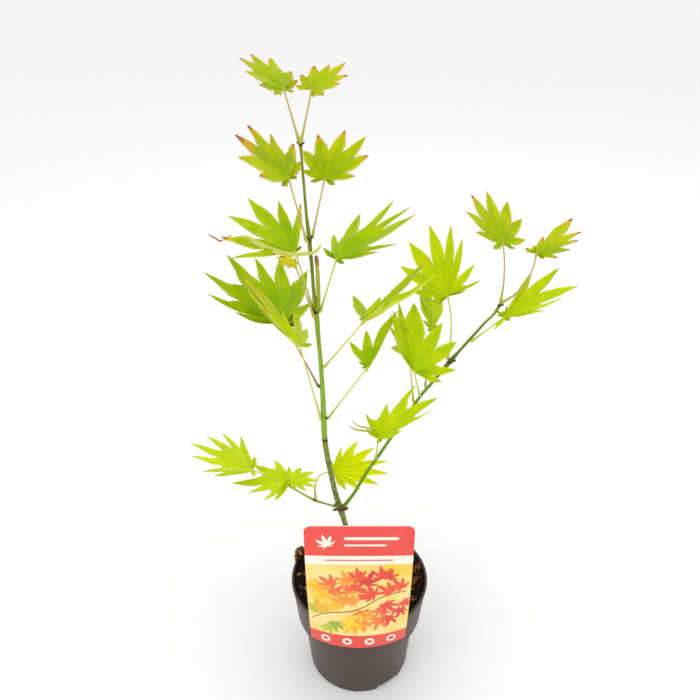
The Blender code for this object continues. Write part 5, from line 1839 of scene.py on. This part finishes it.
    def disc(self, piece: Piece, mark: Mark, size: float, rays: int = 0, depth: float = 0.0) -> None:
        """Prints a disc, or a star where rays is not 0.

        Args:
            piece: The piece that it is added to.
            mark: Its middle.
            size: Its radius, in mm.
            rays: How many rays it has.
            depth: How far the rays are cut in, from 0 to 1.
        """
        made = bmesh.ops.create_circle(piece.shape, cap_ends=True, cap_tris=True, segments=48, radius=1.0)["verts"]
        for vertex in made:
            turn = math.atan2(vertex.co.y, vertex.co.x)
            reach = size * vertex.co.length * (1.0 - depth * (0.5 - 0.5 * math.cos(turn * rays)) if rays else 1.0)
            x, z = mark.across + reach * math.cos(turn), mark.height + reach * math.sin(turn)
            vertex.co = self.printed(x, z, mark.layer)
        piece.coat(made, mark.ink.value)

    def bar(self, piece: Piece, mark: Mark, length: float, tall: float, slope: float = 0.0) -> None:
        """Prints a plain bar with rounded ends.

        Args:
            piece: The piece that it is added to.
            mark: Its middle.
            length, tall: Its size, in mm.
            slope: How many mm it rises for each mm across.
        """
        made = bmesh.ops.create_grid(piece.shape, x_segments=24, y_segments=2, size=1.0)["verts"]
        for vertex in made:
            x, z = vertex.co.x * length / 2, vertex.co.y * tall / 2
            over = max(0.0, abs(x) - (length - tall) / 2)
            z *= math.sqrt(max(0.0, 1.0 - (2 * over / tall) ** 2))
            vertex.co = self.printed(mark.across + x, mark.height + z + slope * x, mark.layer)
        piece.coat(made, mark.ink.value)

    def build_print(self) -> bpy.types.Object:
        """Prints a branch of turning leaves, a sun, and plain bars and discs without lettering.

        Returns:
            The finished piece.
        """
        piece = Piece("label_print", "card_print", (), 180.0, BLADE_NUMBERS)
        luck = random.Random("print")
        self.disc(piece, Mark(27.0, 184.0, Ink.GOLD, 0), 9.0)
        (left, low), (step, climb) = self.twig_start, self.twig_step
        twig = [(left + step * k, low + climb * k + 3.0 * math.sin(k * 1.1)) for k in range(10)]
        for (x, z), (next_x, next_z) in zip(twig, twig[1:]):
            middle = Mark((x + next_x) / 2, (z + next_z) / 2, Ink.BROWN, 0)
            self.bar(piece, middle, 10.4, 1.3, (next_z - z) / (next_x - x))
        inks = (*[Ink.LEAF] * 2, *[Ink.GOLD] * 2, *[Ink.FLAME] * 2, *[Ink.SCARLET] * 3)
        for k in range(len(inks)):
            x, z = left + 4.0 + step * k, low + climb * k
            for n, (up, lean) in enumerate(self.leaf_rows):
                ink = inks[min(len(inks) - 1, max(0, k + round(up / 16.0)))]
                size, spot = luck.uniform(13.0, 19.0), (x + luck.uniform(-4, 4), z + up + luck.uniform(-3, 3))
                if self.leaf_span[0] + size * 0.6 < spot[1] < self.leaf_span[1] - size * 0.6:
                    lean += luck.uniform(-35, 35)
                    self.motif(piece, Mark(*spot, ink, 1 + n), size, lean, f"print_{k}_{n}")
        self.motif(piece, Mark(-26.0, 214.0, Ink.CREAM), 13.0, -20.0, "head_a")
        for mark, length, tall in self.bars:
            self.bar(piece, mark, length, tall)
        for x, rays, depth in self.badges:
            self.disc(piece, Mark(x, 96.0, Ink.CREAM), 4.4)
            self.disc(piece, Mark(x, 96.0, Ink.CORAL, 2), 2.7, rays, depth)
        return piece.done()

    def build(self) -> None:
        """Builds the card and its print."""
        self.build_card()
        self.build_print()


# ---- studio


@dataclass
class Studio:
    """A pale floor, soft lights and the camera."""

    camera_place: Place = (-0.009, -0.512, 0.662)
    camera_tilt: float = 30.5  # degrees below the horizon
    sensor: float = 36.0
    focal: float = 750.0 / 700.0 * 36.0
    floor_size: float = 14.0  # half its side, in metres
    aim: Place = (0.0, 0.0, 0.25)
    # Each lamp: its name, its place, its size in metres and its power in watts.
    lamps: tuple[tuple[str, Place, float, float], ...] = (
        ("key", (-0.9, -1.1, 1.7), 1.2, 6.0), ("fill", (1.2, -0.7, 1.1), 1.2, 2.0), ("back", (0.3, 1.3, 1.6), 1.4, 3.0),
    )

    def build(self) -> None:
        """Builds the floor, the lights and the camera."""
        scene = bpy.context.scene
        scene.view_settings.view_transform = "Standard"
        mesh = bpy.data.meshes.new("floor")
        shape = bmesh.new()
        bmesh.ops.create_grid(shape, x_segments=1, y_segments=1, size=self.floor_size)
        shape.to_mesh(mesh)
        shape.free()
        floor = bpy.data.objects.new("floor", mesh)
        scene.collection.objects.link(floor)
        graph = Graph("floor_paint")
        cloud = graph.noise(graph.place(), 30.0, 3.0)
        colour = graph.blend(graph.span(cloud, 0.2, 0.8), (0.90, 0.90, 0.895, 1.0), (0.92, 0.92, 0.915, 1.0))
        mesh.materials.append(graph.dress(colour, 0.9, cloud, 0.01, 0.1))
        world = bpy.data.worlds.new("studio")
        world.use_nodes = True
        sky = world.node_tree.nodes["Background"]
        sky.inputs["Color"].default_value = (1.0, 1.0, 1.0, 1.0)
        sky.inputs["Strength"].default_value = 1.0
        scene.world = world
        for name, spot, size, power in self.lamps:
            light = bpy.data.lights.new(name, "AREA")
            light.energy, light.size = power, size
            lamp = bpy.data.objects.new(name, light)
            lamp.location = spot
            lamp.rotation_euler = (Vector(self.aim) - Vector(spot)).to_track_quat("-Z", "Y").to_euler()
            scene.collection.objects.link(lamp)
        lens = bpy.data.cameras.new("camera")
        lens.lens, lens.sensor_width = self.focal, self.sensor
        camera = bpy.data.objects.new("camera", lens)
        camera.location = self.camera_place
        camera.rotation_euler = (math.radians(90.0 - self.camera_tilt), 0.0, 0.0)
        scene.collection.objects.link(camera)
        scene.camera = camera


def main() -> None:
    """Builds the studio, the pot, the compost, the label, the stems and the crown."""
    logging.basicConfig(level=logging.INFO, format="%(message)s")
    Studio().build()
    Pot().build()
    Compost().build()
    Label().build()
    stems = Stems()
    stems.build()
    Crown(stems, REGIONS).build()


if __name__ == "__main__":
    main()
